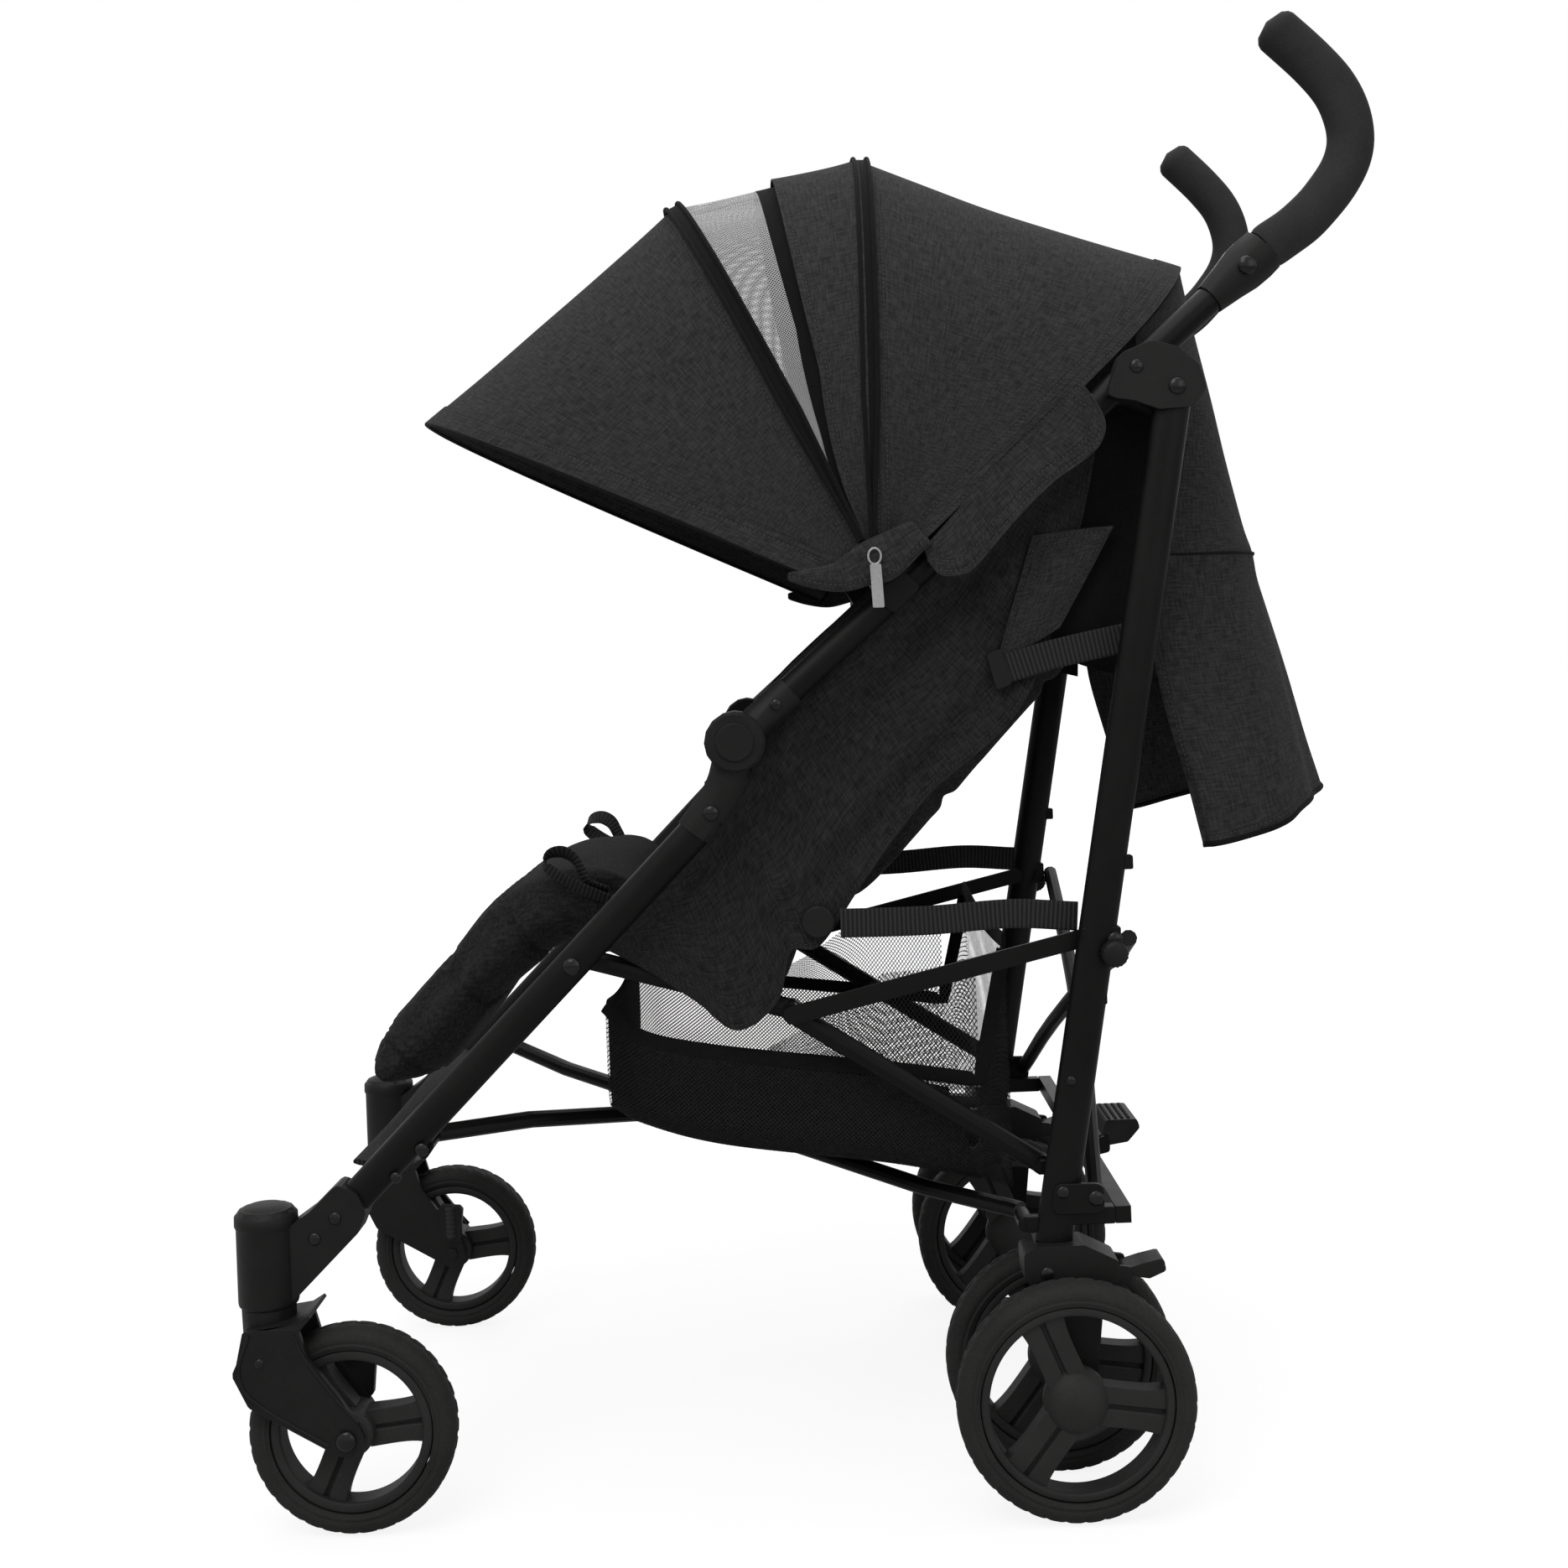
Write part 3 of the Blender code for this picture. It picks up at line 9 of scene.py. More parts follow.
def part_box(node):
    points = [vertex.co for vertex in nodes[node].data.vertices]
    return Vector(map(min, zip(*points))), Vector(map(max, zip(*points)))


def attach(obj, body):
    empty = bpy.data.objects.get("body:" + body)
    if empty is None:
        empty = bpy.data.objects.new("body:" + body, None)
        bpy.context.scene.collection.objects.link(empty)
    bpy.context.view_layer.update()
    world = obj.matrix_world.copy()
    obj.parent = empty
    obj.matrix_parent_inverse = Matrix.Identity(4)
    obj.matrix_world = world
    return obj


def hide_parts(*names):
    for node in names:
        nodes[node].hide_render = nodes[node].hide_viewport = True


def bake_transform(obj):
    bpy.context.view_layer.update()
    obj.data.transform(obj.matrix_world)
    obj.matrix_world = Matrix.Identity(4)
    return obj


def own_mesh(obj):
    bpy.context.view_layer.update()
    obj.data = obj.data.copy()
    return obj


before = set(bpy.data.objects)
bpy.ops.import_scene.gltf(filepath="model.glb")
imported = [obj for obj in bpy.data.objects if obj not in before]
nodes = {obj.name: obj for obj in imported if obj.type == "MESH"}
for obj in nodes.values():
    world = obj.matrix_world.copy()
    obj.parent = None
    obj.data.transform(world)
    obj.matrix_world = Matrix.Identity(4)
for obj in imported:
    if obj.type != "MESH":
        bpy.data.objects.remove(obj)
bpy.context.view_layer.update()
hingeLow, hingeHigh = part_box("recline_hinge_left")
shiftY = (hingeLow.y + hingeHigh.y) / 2 - 0.014   # side drawings are (y, z); this centres them as the frame is centred
sides = ((1, "Left"), (-1, "Right"))
noSeam = 9.0   # distance to a stitched edge, in metres, where there is none
print("frame loaded, side drawings shifted by", round(shiftY, 5))


# surfaces from arrays

def unit(v):
    return v / np.maximum(np.linalg.norm(v, axis=-1, keepdims=True), 1e-12)


def ramp(count, axes=0):
    # even steps from 0 to 1, with that many more axes behind them
    return np.linspace(0, 1, count).reshape((-1,) + (1,) * axes)


def standUp(flat, x):
    # (y, z) points of a side drawing stood up at x
    p = np.asarray(flat, float)
    return np.stack([np.broadcast_to(x, p.shape[:-1]), p[..., 0] + shiftY, p[..., 1]], -1)


def smoothLine(points, steps):
    # Catmull-Rom: each span is 0.5(2b + (c-a)t + (2a-5b+4c-d)t2 + (3b-a-3c+d)t3)
    p = np.asarray(points, float)
    q = np.concatenate([[2 * p[0] - p[1]], p, [2 * p[-1] - p[-2]]])
    a, b, c, d = (q[k:len(q) - 3 + k, None] for k in range(4))
    t = (np.arange(steps) / steps)[None, :, None]
    spans = 0.5 * (2 * b + (c - a) * t + (2 * a - 5 * b + 4 * c - d) * t ** 2 + (3 * b - a - 3 * c + d) * t ** 3)
    return np.concatenate([spans.reshape(-1, p.shape[1]), p[-1:]])


def evenLine(points, count):
    # the same line with points at equal arc lengths
    p = np.asarray(points, float)
    s = np.concatenate([[0], np.cumsum(np.linalg.norm(np.diff(p, axis=0), axis=1))])
    at = np.linspace(0, s[-1], count)
    return np.stack([np.interp(at, s, p[:, k]) for k in range(p.shape[1])], 1)


def loft(first, last, rows, columns):
    # straight lines from one side line to another: first (1-t) + last t
    t = ramp(rows, 2)
    return evenLine(first, columns)[None] * (1 - t) + evenLine(last, columns)[None] * t


def roundedOutline(points, radius):
    # each corner becomes the quadratic curve (1-t)2 a + 2t(1-t) corner + t2 b, a and b at most a radius away
    p = np.asarray(points, float)
    before, after = np.roll(p, 1, 0) - p, np.roll(p, -1, 0) - p
    room = 0.48 * np.minimum(np.linalg.norm(before, axis=1), np.linalg.norm(after, axis=1))
    reach = np.minimum(radius, room)[:, None]
    a, b = p + unit(before) * reach, p + unit(after) * reach
    t = ramp(5, 1)[None]
    return ((1 - t) ** 2 * a[:, None] + 2 * t * (1 - t) * p[:, None] + t * t * b[:, None]).reshape(-1, 2)


def gridPart(points, closeU=False, closeV=False, capped=False, slot=0, seam=None):
    # P(u, v): rows follow u, columns v; each corner's UV is its arc length along u and v in metres
    p = np.asarray(points, float)
    rows, cols = p.shape[:2]
    lenU, lenV = (np.concatenate([[0], np.cumsum(np.linalg.norm(np.roll(p, -1, k) - p, axis=2).mean(1 - k))])
                  for k in (0, 1))
    i, j = np.meshgrid(np.arange(rows if closeU else rows - 1), np.arange(cols if closeV else cols - 1), indexing="ij")
    i2, j2 = (i + 1) % rows, (j + 1) % cols
    quads = np.stack([i * cols + j, i * cols + j2, i2 * cols + j2, i2 * cols + j], -1).reshape(-1, 4)
    uv = np.stack([lenU[i], lenV[j], lenU[i], lenV[j + 1], lenU[i + 1], lenV[j + 1], lenU[i + 1], lenV[j]], -1)
    flatSeam = np.full((rows * cols, 2), noSeam) if seam is None else seam.reshape(-1, 2)
    faces = [(quads, uv.reshape(-1, 4, 2), flatSeam[quads])]
    for row, order in ((0, -1), (rows - 1, 1)) if capped else ():
        rim = np.arange(row * cols, row * cols + cols)[::order][None]
        spread = p.reshape(-1, 3)[rim[0]]
        spread = spread - spread.mean(0)
        axes = np.argsort(-spread.std(0))[:2]
        faces.append((rim, spread[:, axes][None], np.full((1, cols, 2), noSeam)))
    return {"verts": p.reshape(-1, 3), "faces": faces, "slot": slot}


def clothPart(points, thick, edges=("u0", "u1", "v0", "v1"), slot=0):
    # the sheet P(u, v) moved half its thickness along its normal dP/du x dP/dv each way, and closed at its edges;
    # the named edges are stitched, u0 and u1 the first and last row
    p = np.asarray(points, float)
    normal = unit(np.cross(np.gradient(p, axis=0), np.gradient(p, axis=1)))
    lenU = np.cumsum(np.linalg.norm(np.diff(p, axis=0, prepend=p[:1]), axis=2), 0)
    lenV = np.cumsum(np.linalg.norm(np.diff(p, axis=1, prepend=p[:, :1]), axis=2), 1)
    far = {"u0": (lenU, lenV), "u1": (lenU[-1:] - lenU, lenV), "v0": (lenV, lenU), "v1": (lenV[:, -1:] - lenV, lenU)}
    seam = np.stack([lenU * 0, lenU * 0 + noSeam], -1)
    for edge in edges:
        away, run = far[edge]
        seam = np.where((away < seam[..., 1])[..., None], np.stack([run, away], -1), seam)
    outer, inner = p + normal * thick / 2, p - normal * thick / 2
    rims = [(outer[k], inner[k]) for k in (0, -1)] + [(outer[:, k], inner[:, k]) for k in (0, -1)]
    return ([gridPart(face, slot=slot, seam=seam) for face in (outer, inner)]
            + [gridPart(np.stack(rim), slot=slot) for rim in rims])


def sweepPart(path, section, across=(1, 0, 0), scale=1.0):
    # path + a * section.x * e1 + a * section.y * e2, with e1 the across vector squared to the path
    p, s, size = np.asarray(path, float), np.asarray(section, float), np.asarray(scale, float)
    tangent = unit(np.gradient(p, axis=0))
    e0 = np.broadcast_to(np.asarray(across, float), p.shape)
    e1 = unit(e0 - (tangent * e0).sum(1, keepdims=True) * tangent)
    e2 = np.cross(tangent, e1)
    size = np.broadcast_to(size if size.ndim == 2 else size.reshape(-1, 1), (len(p), 2))
    flat = s[None] * size[:, None]
    return gridPart(p[:, None] + flat[..., :1] * e1[:, None] + flat[..., 1:] * e2[:, None], closeV=True, capped=True)


def ring(count, power=1.0):
    # unit circle, or a squarer one when a power is below 1: sign(cos) |cos|^power, sign(sin) |sin|^power
    a = np.linspace(0, 2 * math.pi, count, endpoint=False)
    return np.stack([np.sign(f) * np.abs(f) ** k for f, k in zip((np.cos(a), np.sin(a)), np.broadcast_to(power, 2))], 1)


def band(width, thick):
    # flat strap section with rounded edges
    return ring(12, 0.35) * np.array([width / 2, thick / 2])


def turnedPart(profile, centre, steps=72, closed=False, ripple=None, upright=False):
    # (r, x) spun about the X axis: (x, yc + r cos a, zc + r sin a); ripple(a, x, r) is added to r;
    # upright, (r, z) spun about the vertical through (x, y)
    q = np.asarray(profile, float)
    a = np.linspace(0, 2 * math.pi, steps, endpoint=False)[:, None]
    r, x = q[None, :, 0] + 0 * a, q[None, :, 1] + 0 * a
    r = r + (0 if ripple is None else ripple(a, x, r))
    if upright:
        grid = np.stack([centre[0] + r * np.cos(a), centre[1] + shiftY + r * np.sin(a), x], -1)
    else:
        grid = np.stack([x, centre[0] + shiftY + r * np.cos(a), centre[1] + r * np.sin(a)], -1)
    return gridPart(grid, closeU=True, closeV=closed)


def pinPart(centre, radius, x0, x1, steps=32):
    return turnedPart([(0, x0), (radius, x0), (radius, x1), (0, x1)], centre, steps)


def prismPart(outline, x0, x1):
    return gridPart(np.stack([standUp(outline, x0), standUp(outline, x1)]), closeV=True, capped=True)


def finished(name, mesh, materials, angle, bevel, segments=2, bevelAngle=34, merge=2e-6, flatten=0.0):
    # the mesh's doubles merged, its faces turned outwards, its looks and shading set, its edges rounded
    bm = bmesh.new()
    bm.from_mesh(mesh)
    bmesh.ops.remove_doubles(bm, verts=bm.verts, dist=merge)
    if flatten:
        bmesh.ops.dissolve_limit(bm, angle_limit=math.radians(flatten), verts=bm.verts, edges=bm.edges)
    else:
        bmesh.ops.dissolve_degenerate(bm, dist=1e-7, edges=bm.edges)
    bmesh.ops.recalc_face_normals(bm, faces=bm.faces)
    bm.to_mesh(mesh)
    bm.free()
    for material in materials:
        mesh.materials.append(material)
    mesh.shade_smooth()
    mesh.set_sharp_from_angle(angle=math.radians(angle))
    item = bpy.data.objects.new(name, mesh)
    bpy.context.scene.collection.objects.link(item)
    if bevel:
        rounding = item.modifiers.new("edges", "BEVEL")
        rounding.width, rounding.segments, rounding.limit_method = bevel, segments, "ANGLE"
        rounding.angle_limit, rounding.use_clamp_overlap = math.radians(bevelAngle), True
    return item


def makePiece(name, parts, look, angle=50, bevel=0.0, segments=2, side=1):
    # one mesh from several parts; side -1 mirrors it, and look may name two looks for slots 0 and 1
    loops, totals, weave, seams, slots, base = [], [], [], [], [], 0
    for part in parts:
        for faces, uv, seam in part["faces"]:
            loops.append((faces + base).ravel())
            totals.append(np.full(len(faces), faces.shape[1]))
            weave.append(uv.reshape(-1, 2))
            seams.append(seam.reshape(-1, 2))
            slots.append(np.full(len(faces), part["slot"]))
        base += len(part["verts"])
    totals = np.concatenate(totals)
    mesh = bpy.data.meshes.new(name)
    mesh.vertices.add(base)
    mesh.loops.add(int(totals.sum()))
    mesh.polygons.add(len(totals))
    verts = np.concatenate([part["verts"] for part in parts]) * np.array([side, 1, 1])
    mesh.vertices.foreach_set("co", verts.astype(np.float32).ravel())
    mesh.loops.foreach_set("vertex_index", np.concatenate(loops).astype(np.int32))
    mesh.polygons.foreach_set("loop_start", np.concatenate([[0], np.cumsum(totals)[:-1]]).astype(np.int32))
    mesh.polygons.foreach_set("material_index", np.concatenate(slots).astype(np.int32))
    for layer, values in (("Weave", weave), ("Seam", seams)):
        mesh.uv_layers.new(name=layer).data.foreach_set("uv", np.concatenate(values).astype(np.float32).ravel())
    mesh.update(calc_edges=True)
    mesh.validate()
    return finished(name, mesh, [looks[key] for key in look.split()], angle, bevel, segments)


def dress(name, parts, look, slotName, body="", stands=(), **options):
    item = makePiece(name, parts, look, **options)
    if body:
        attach(item, body)
    if stands:
        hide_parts(*stands)
    return item


def roundedCopy(name, node, bevel, body):
    # a CAD solid with its triangles merged, flat faces joined and its edges rounded
    mesh = nodes[node].data.copy()
    mesh.name = name
    mesh.materials.clear()
    item = finished(name, mesh, [looks["plastic"]], 40, bevel, bevelAngle=40, merge=1e-5, flatten=1.2)
    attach(item, body)
    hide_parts(node)


# materials

def newGroup(name, inputs, outputs):
    # an input whose value is None is a vector
    group = bpy.data.node_groups.new(name, "ShaderNodeTree")
    for label, value in inputs.items():
        kind = "NodeSocketVector" if value is None else "NodeSocketFloat"
        socket = group.interface.new_socket(label, in_out="INPUT", socket_type=kind)
        if value is not None:
            socket.default_value = value
    for label in outputs:
        group.interface.new_socket(label, in_out="OUTPUT", socket_type="NodeSocketFloat")
    return group, group.nodes.new("NodeGroupInput").outputs, group.nodes.new("NodeGroupOutput").inputs


def connect(tree, socket, value):
    if isinstance(value, bpy.types.NodeSocket):
        tree.links.new(value, socket)
    else:
        socket.default_value = value


def addNode(tree, kind, sources=(), **settings):
    # one node, its properties set, and its inputs given as sockets or plain values
    node = tree.nodes.new("ShaderNode" + kind)
    for key, value in settings.items():
        setattr(node, key, value)
    for key, value in dict(sources).items():
        connect(tree, node.inputs[key], value)
    return node


def calculator(tree):
    # a short hand for Math nodes: the operation, then its values
    return lambda operation, *values: addNode(tree, "Math", dict(enumerate(values)), operation=operation).outputs[0]


def buildWeaveGroup():
    # melange cloth: long thin slubs along each thread direction, over a fine over-and-under weave
    group, given, made = newGroup("melangeWeave", {"Vector": None, "Thread": 0.0006, "Slub": 1.0}, ("Shade", "Height"))
    calc = calculator(group)
    u, v, w = addNode(group, "SeparateXYZ", {0: given["Vector"]}).outputs
    slubs = []
    for along, across, offset in ((u, v, 0.0), (v, u, 7.3)):
        stretched = addNode(group, "CombineXYZ", {0: calc("MULTIPLY_ADD", along, 95.0, offset),
                                                  1: calc("MULTIPLY", across, 640.0), 2: calc("MULTIPLY", w, 400.0)})
        slubs.append(addNode(group, "TexNoise", {"Vector": stretched.outputs[0], "Scale": 1.0, "Detail": 2.0,
                                                 "Roughness": 0.6}).outputs["Fac"])
    contrast = calc("MULTIPLY", calc("SUBTRACT", calc("ADD", *slubs), 1.0), given["Slub"])
    turns = calc("DIVIDE", 2 * math.pi, given["Thread"])
    over = calc("MULTIPLY", calc("SINE", calc("MULTIPLY", u, turns)), calc("SINE", calc("MULTIPLY", v, turns)))
    connect(group, made["Shade"], contrast)
    connect(group, made["Height"], calc("ADD", calc("MULTIPLY", over, 0.35), contrast))
    return group


def buildStitchGroup():
    # a dashed line of thread at a set distance from a hem, in a shallow groove
    group, given, made = newGroup("stitchLine", {"Vector": None, "Away": 0.006, "Pitch": 0.0036}, ("Thread", "Groove"))
    calc = calculator(group)
    run, away, _ = addNode(group, "SeparateXYZ", {0: given["Vector"]}).outputs
    gap = calc("ABSOLUTE", calc("SUBTRACT", away, given["Away"]))
    dash = calc("LESS_THAN", calc("FRACT", calc("DIVIDE", run, given["Pitch"])), 0.68)
    groove = addNode(group, "MapRange", {"Value": gap, "From Min": 0.0, "From Max": 0.0016, "To Min": 1.0, "To Max": 0.0},
                     interpolation_type="SMOOTHSTEP")
    connect(group, made["Thread"], calc("MULTIPLY", calc("LESS_THAN", gap, 0.00045), dash))
    connect(group, made["Groove"], groove.outputs[0])
    return group


def buildNetGroup():
    # slanted net of threads round open cells: 1 on a thread, 0 in a cell
    group, given, made = newGroup("openNet", {"Vector": None, "Pitch": 0.0022, "Cord": 0.3}, ("Solid", "Height"))
    calc = calculator(group)
    u, v, _ = addNode(group, "SeparateXYZ", {0: given["Vector"]}).outputs
    threads = []
    for operation in ("ADD", "SUBTRACT"):
        along = calc("DIVIDE", calc(operation, u, v), given["Pitch"])
        threads.append(calc("ABSOLUTE", calc("SUBTRACT", calc("FRACT", along), 0.5)))
    nearest = calc("MAXIMUM", *threads)
    connect(group, made["Solid"], calc("GREATER_THAN", nearest, calc("SUBTRACT", 0.5, given["Cord"])))
    connect(group, made["Height"], calc("MULTIPLY", nearest, 2.0))
    return group


def buildGrainGroup():
    # moulded or powder-coated skin: fine grain, and broad unevenness
    group, given, made = newGroup("mouldGrain", {"Vector": None, "Scale": 900.0}, ("Grain", "Broad"))
    fine = addNode(group, "TexNoise", {"Vector": given["Vector"], "Scale": given["Scale"], "Detail": 3.0})
    broad = addNode(group, "TexNoise", {"Vector": given["Vector"], "Scale": 14.0, "Detail": 4.0, "Roughness": 0.6})
    connect(group, made["Grain"], fine.outputs["Fac"])
    connect(group, made["Broad"], broad.outputs["Fac"])
    return group


weaveGroup, stitchGroup, netGroup, grainGroup = buildWeaveGroup(), buildStitchGroup(), buildNetGroup(), buildGrainGroup()


def startMaterial(name):
    material = bpy.data.materials.new(name)
    material.use_nodes = True
    tree = material.node_tree
    return material, tree, tree.nodes["Principled BSDF"].inputs, calculator(tree)


def useGroup(tree, group, **sources):
    return addNode(tree, "Group", sources, node_tree=group).outputs


def onObject(tree):
    return addNode(tree, "TexCoord").outputs["Object"]


def onLayer(tree, layer):
    return addNode(tree, "UVMap", uv_map=layer).outputs[0]


def mixColour(tree, factor, dark, light):
    node = addNode(tree, "Mix", {"Factor": factor}, data_type="RGBA")
    for key, value in (("A", dark), ("B", light)):
        socket = next(s for s in node.inputs if s.name == key and s.type == "RGBA")
        connect(tree, socket, (*value, 1.0) if isinstance(value, tuple) else value)
    return next(s for s in node.outputs if s.type == "RGBA")


def ranged(tree, value, low, high, toLow, toHigh):
    return addNode(tree, "MapRange", {"Value": value, "From Min": low, "From Max": high, "To Min": toLow,
                                      "To Max": toHigh}).outputs[0]


def setSurface(tree, inputs, colour, height, strength, distance, **values):
    # colour, relief and plain values of the shader, an underscore standing for a space in their names
    bump = addNode(tree, "Bump", {"Height": height, "Strength": strength, "Distance": distance})
    connect(tree, inputs["Base Color"], colour)
    connect(tree, inputs["Normal"], bump.outputs[0])
    for key, value in values.items():
        connect(tree, inputs[key.replace("_", " ")], value)


def clothMaterial(name, dark, light, seams=(), slub=2.3):
    # with seams it follows the cloth's own run, without any the object
    material, tree, inputs, calc = startMaterial(name)
    weave = useGroup(tree, weaveGroup, Vector=onLayer(tree, "Weave") if seams else onObject(tree), Slub=slub)
    broad = useGroup(tree, grainGroup, Vector=onObject(tree), Scale=60.0)["Broad"]
    uneven = calc("MULTIPLY", calc("SUBTRACT", broad, 0.5), 0.35)
    colour = mixColour(tree, calc("ADD", ranged(tree, weave["Shade"], -0.6, 0.6, 0.0, 1.0), uneven), dark, light)
    height = weave["Height"]
    for away in seams:
        stitch = useGroup(tree, stitchGroup, Vector=onLayer(tree, "Seam"), Away=away)
        # painted shade: the colour darkens towards a quarter of the dark tone along each stitch groove, on top of the
        # groove's relief
        colour = mixColour(tree, calc("MULTIPLY", stitch["Groove"], 0.55), colour, tuple(0.25 * c for c in dark))
        colour = mixColour(tree, stitch["Thread"], colour, tuple(1.1 * c for c in light))
        height = calc("SUBTRACT", height, calc("MULTIPLY", stitch["Groove"], 3.0))
    setSurface(tree, inputs, colour, height, 0.45, 0.00035, Roughness=0.93, Sheen_Weight=0.03, Sheen_Roughness=0.45,
               Specular_IOR_Level=0.06)
    return material


def netMaterial(name, dark, light, pitch, cord):
    material, tree, inputs, _ = startMaterial(name)
    net = useGroup(tree, netGroup, Vector=onLayer(tree, "Weave"), Pitch=pitch, Cord=cord)
    # painted shade: the colour follows the relief, lighter along the cords' middles and darker towards the open cells
    setSurface(tree, inputs, mixColour(tree, net["Height"], dark, light), net["Height"], 0.4, 0.0003, Alpha=net["Solid"],
               Roughness=0.7, Specular_IOR_Level=0.08)
    return material


def solidMaterial(name, dark, light, roughness, grainScale, bump, specular, metallic=0.0, spread=0.12):
    material, tree, inputs, calc = startMaterial(name)
    grain = useGroup(tree, grainGroup, Vector=onObject(tree), Scale=grainScale)
    mix = calc("ADD", calc("MULTIPLY", grain["Grain"], 0.4), calc("MULTIPLY", grain["Broad"], 0.6))
    colour = mixColour(tree, ranged(tree, mix, 0.35, 0.65, 0.0, 1.0), dark, light)
    setSurface(tree, inputs, colour, grain["Grain"], bump, 0.0002, Metallic=metallic, Specular_IOR_Level=specular,
               Roughness=ranged(tree, grain["Broad"], 0.3, 0.7, roughness, roughness + spread))
    return material


def webbingMaterial(name, dark, light, ribPitch, threadPitch):
    # woven strap: ribs across it and fine threads along it
    material, tree, inputs, calc = startMaterial(name)
    run, across, _ = addNode(tree, "SeparateXYZ", {0: onLayer(tree, "Weave")}).outputs
    ribs, fine = (calc("SINE", calc("MULTIPLY", way, 2 * math.pi / pitch)) for way, pitch in
                  ((run, ribPitch), (across, threadPitch)))
    height = calc("ADD", ribs, calc("MULTIPLY", fine, 0.3))
    # painted shade: the colour follows the relief, darker in the troughs between the ribs and lighter on their crests
    setSurface(tree, inputs, mixColour(tree, ranged(tree, height, -1.3, 1.3, 0.0, 1.0), dark, light), height, 0.6, 0.0005,
               Roughness=0.72, Specular_IOR_Level=0.1)
    return material


def grey(value, blue=0.0):
    return (value, value, value + blue)


looks = {
    "cloth": clothMaterial("melangeCloth", grey(0.017, 0.001), grey(0.046, 0.001), (0.0055,)),
    "clothDouble": clothMaterial("melangeClothTwoRows", grey(0.017, 0.001), grey(0.046, 0.001), (0.004, 0.011)),
    "clothPlain": clothMaterial("melangeClothPads", grey(0.009, 0.001), grey(0.027, 0.001)),
    "clothBand": clothMaterial("melangeClothBanded", grey(0.011, 0.001), grey(0.033, 0.001), (0.004, 0.021)),
    "binding": clothMaterial("blackBinding", grey(0.005), grey(0.012), (0.0025,), slub=0.8),
    "lining": clothMaterial("blackLining", grey(0.004), grey(0.01), (0.004,), slub=0.8),
    "net": netMaterial("hoodNet", grey(0.17), grey(0.4), 0.0024, 0.17),
    "basketNet": netMaterial("basketNet", grey(0.004), grey(0.014), 0.0032, 0.105),
    "paint": solidMaterial("satinTubePaint", (0.003, 0.0028, 0.0027), (0.0066, 0.0062, 0.0059), 0.36, 1300.0, 0.1, 0.11),
    "plastic": solidMaterial("mouldedPlastic", (0.007, 0.0068, 0.0066), (0.015, 0.0146, 0.0142), 0.44, 1500.0, 0.25, 0.13),
    "foam": solidMaterial("gripFoam", grey(0.02), grey(0.04), 0.8, 1100.0, 0.55, 0.1),
    "tyre": solidMaterial("tyreRubber", (0.0165, 0.016, 0.0155), (0.031, 0.0302, 0.0294), 0.62, 700.0, 0.25, 0.1),
    "wheel": solidMaterial("wheelPlastic", (0.016, 0.0156, 0.0152), (0.03, 0.0292, 0.0285), 0.48, 1200.0, 0.22, 0.13),
    "rivet": solidMaterial("blackRivet", grey(0.006), grey(0.01), 0.16, 300.0, 0.02, 0.22, spread=0.06),
    "silver": solidMaterial("brushedZipMetal", grey(0.26), grey(0.36), 0.36, 500.0, 0.12, 0.3, metallic=0.6),
    "webbing": webbingMaterial("ribbedWebbing", grey(0.008), grey(0.04, 0.001), 0.0032, 0.0011),
}
print("materials made:", len(looks))


# wheels

wheels = {
    "front": {"hub": (-0.328, 0.0735), "radius": 0.0735, "rim": 0.0575, "opening": 0.05, "spokes": (6, 126, 246),
              "spokeHalf": 0.0125, "blocks": 34},
    "rear": {"hub": (0.18, 0.0835), "radius": 0.0835, "rim": 0.0675, "opening": 0.061, "spokes": (-8, 112, 232),
             "spokeHalf": 0.0135, "blocks": 38},
}
wheelHalf, treadDepth, boreRadius, spokeFoot = 0.0125, 0.0007, 0.0054, 0.0115


def tyrePart(size, x):
    # round-shouldered section spun about the hub; chevron grooves are cut where the tread passes
    radius, rim = size["radius"], size["rim"]
    tread = ((0, 0), (0, 0.05), (0, 0.11), (0.0001, 0.3), (0.0004, 0.46), (0.001, 0.6), (0.0019, 0.72), (0.0032, 0.84),
             (0.005, 0.93), (0.007, 0.985), (0.0085, 1.0), (0.0098, 0.975))
    bead = ((0.0052, 0.945), (0.0044, 0.985), (0.0032, 0.985), (0.0024, 0.93), (0.0003, 0.86))
    half = [(radius - r, u) for r, u in tread] + [(rim + r, u) for r, u in bead]
    profile = [(r, x - u * wheelHalf) for r, u in reversed(half[1:])] + [(r, x + u * wheelHalf) for r, u in half]

    def groove(a, across, r):
        u = (across - x) / wheelHalf
        turn = (a * size["blocks"] / (2 * math.pi) + 0.6 * np.abs(u) + 0.5 * (u > 0)) % 1
        cut = np.clip((0.17 - np.abs(turn - 0.5)) / 0.07, 0, 1) * np.clip((0.86 - np.abs(u)) / 0.08, 0, 1)
        centre = np.clip((0.08 - np.abs(u)) / 0.04, 0, 1)
        return -treadDepth * np.maximum(cut, centre) * (r > radius - 0.006)

    return turnedPart(profile, size["hub"], size["blocks"] * 9, closed=True, ripple=groove)


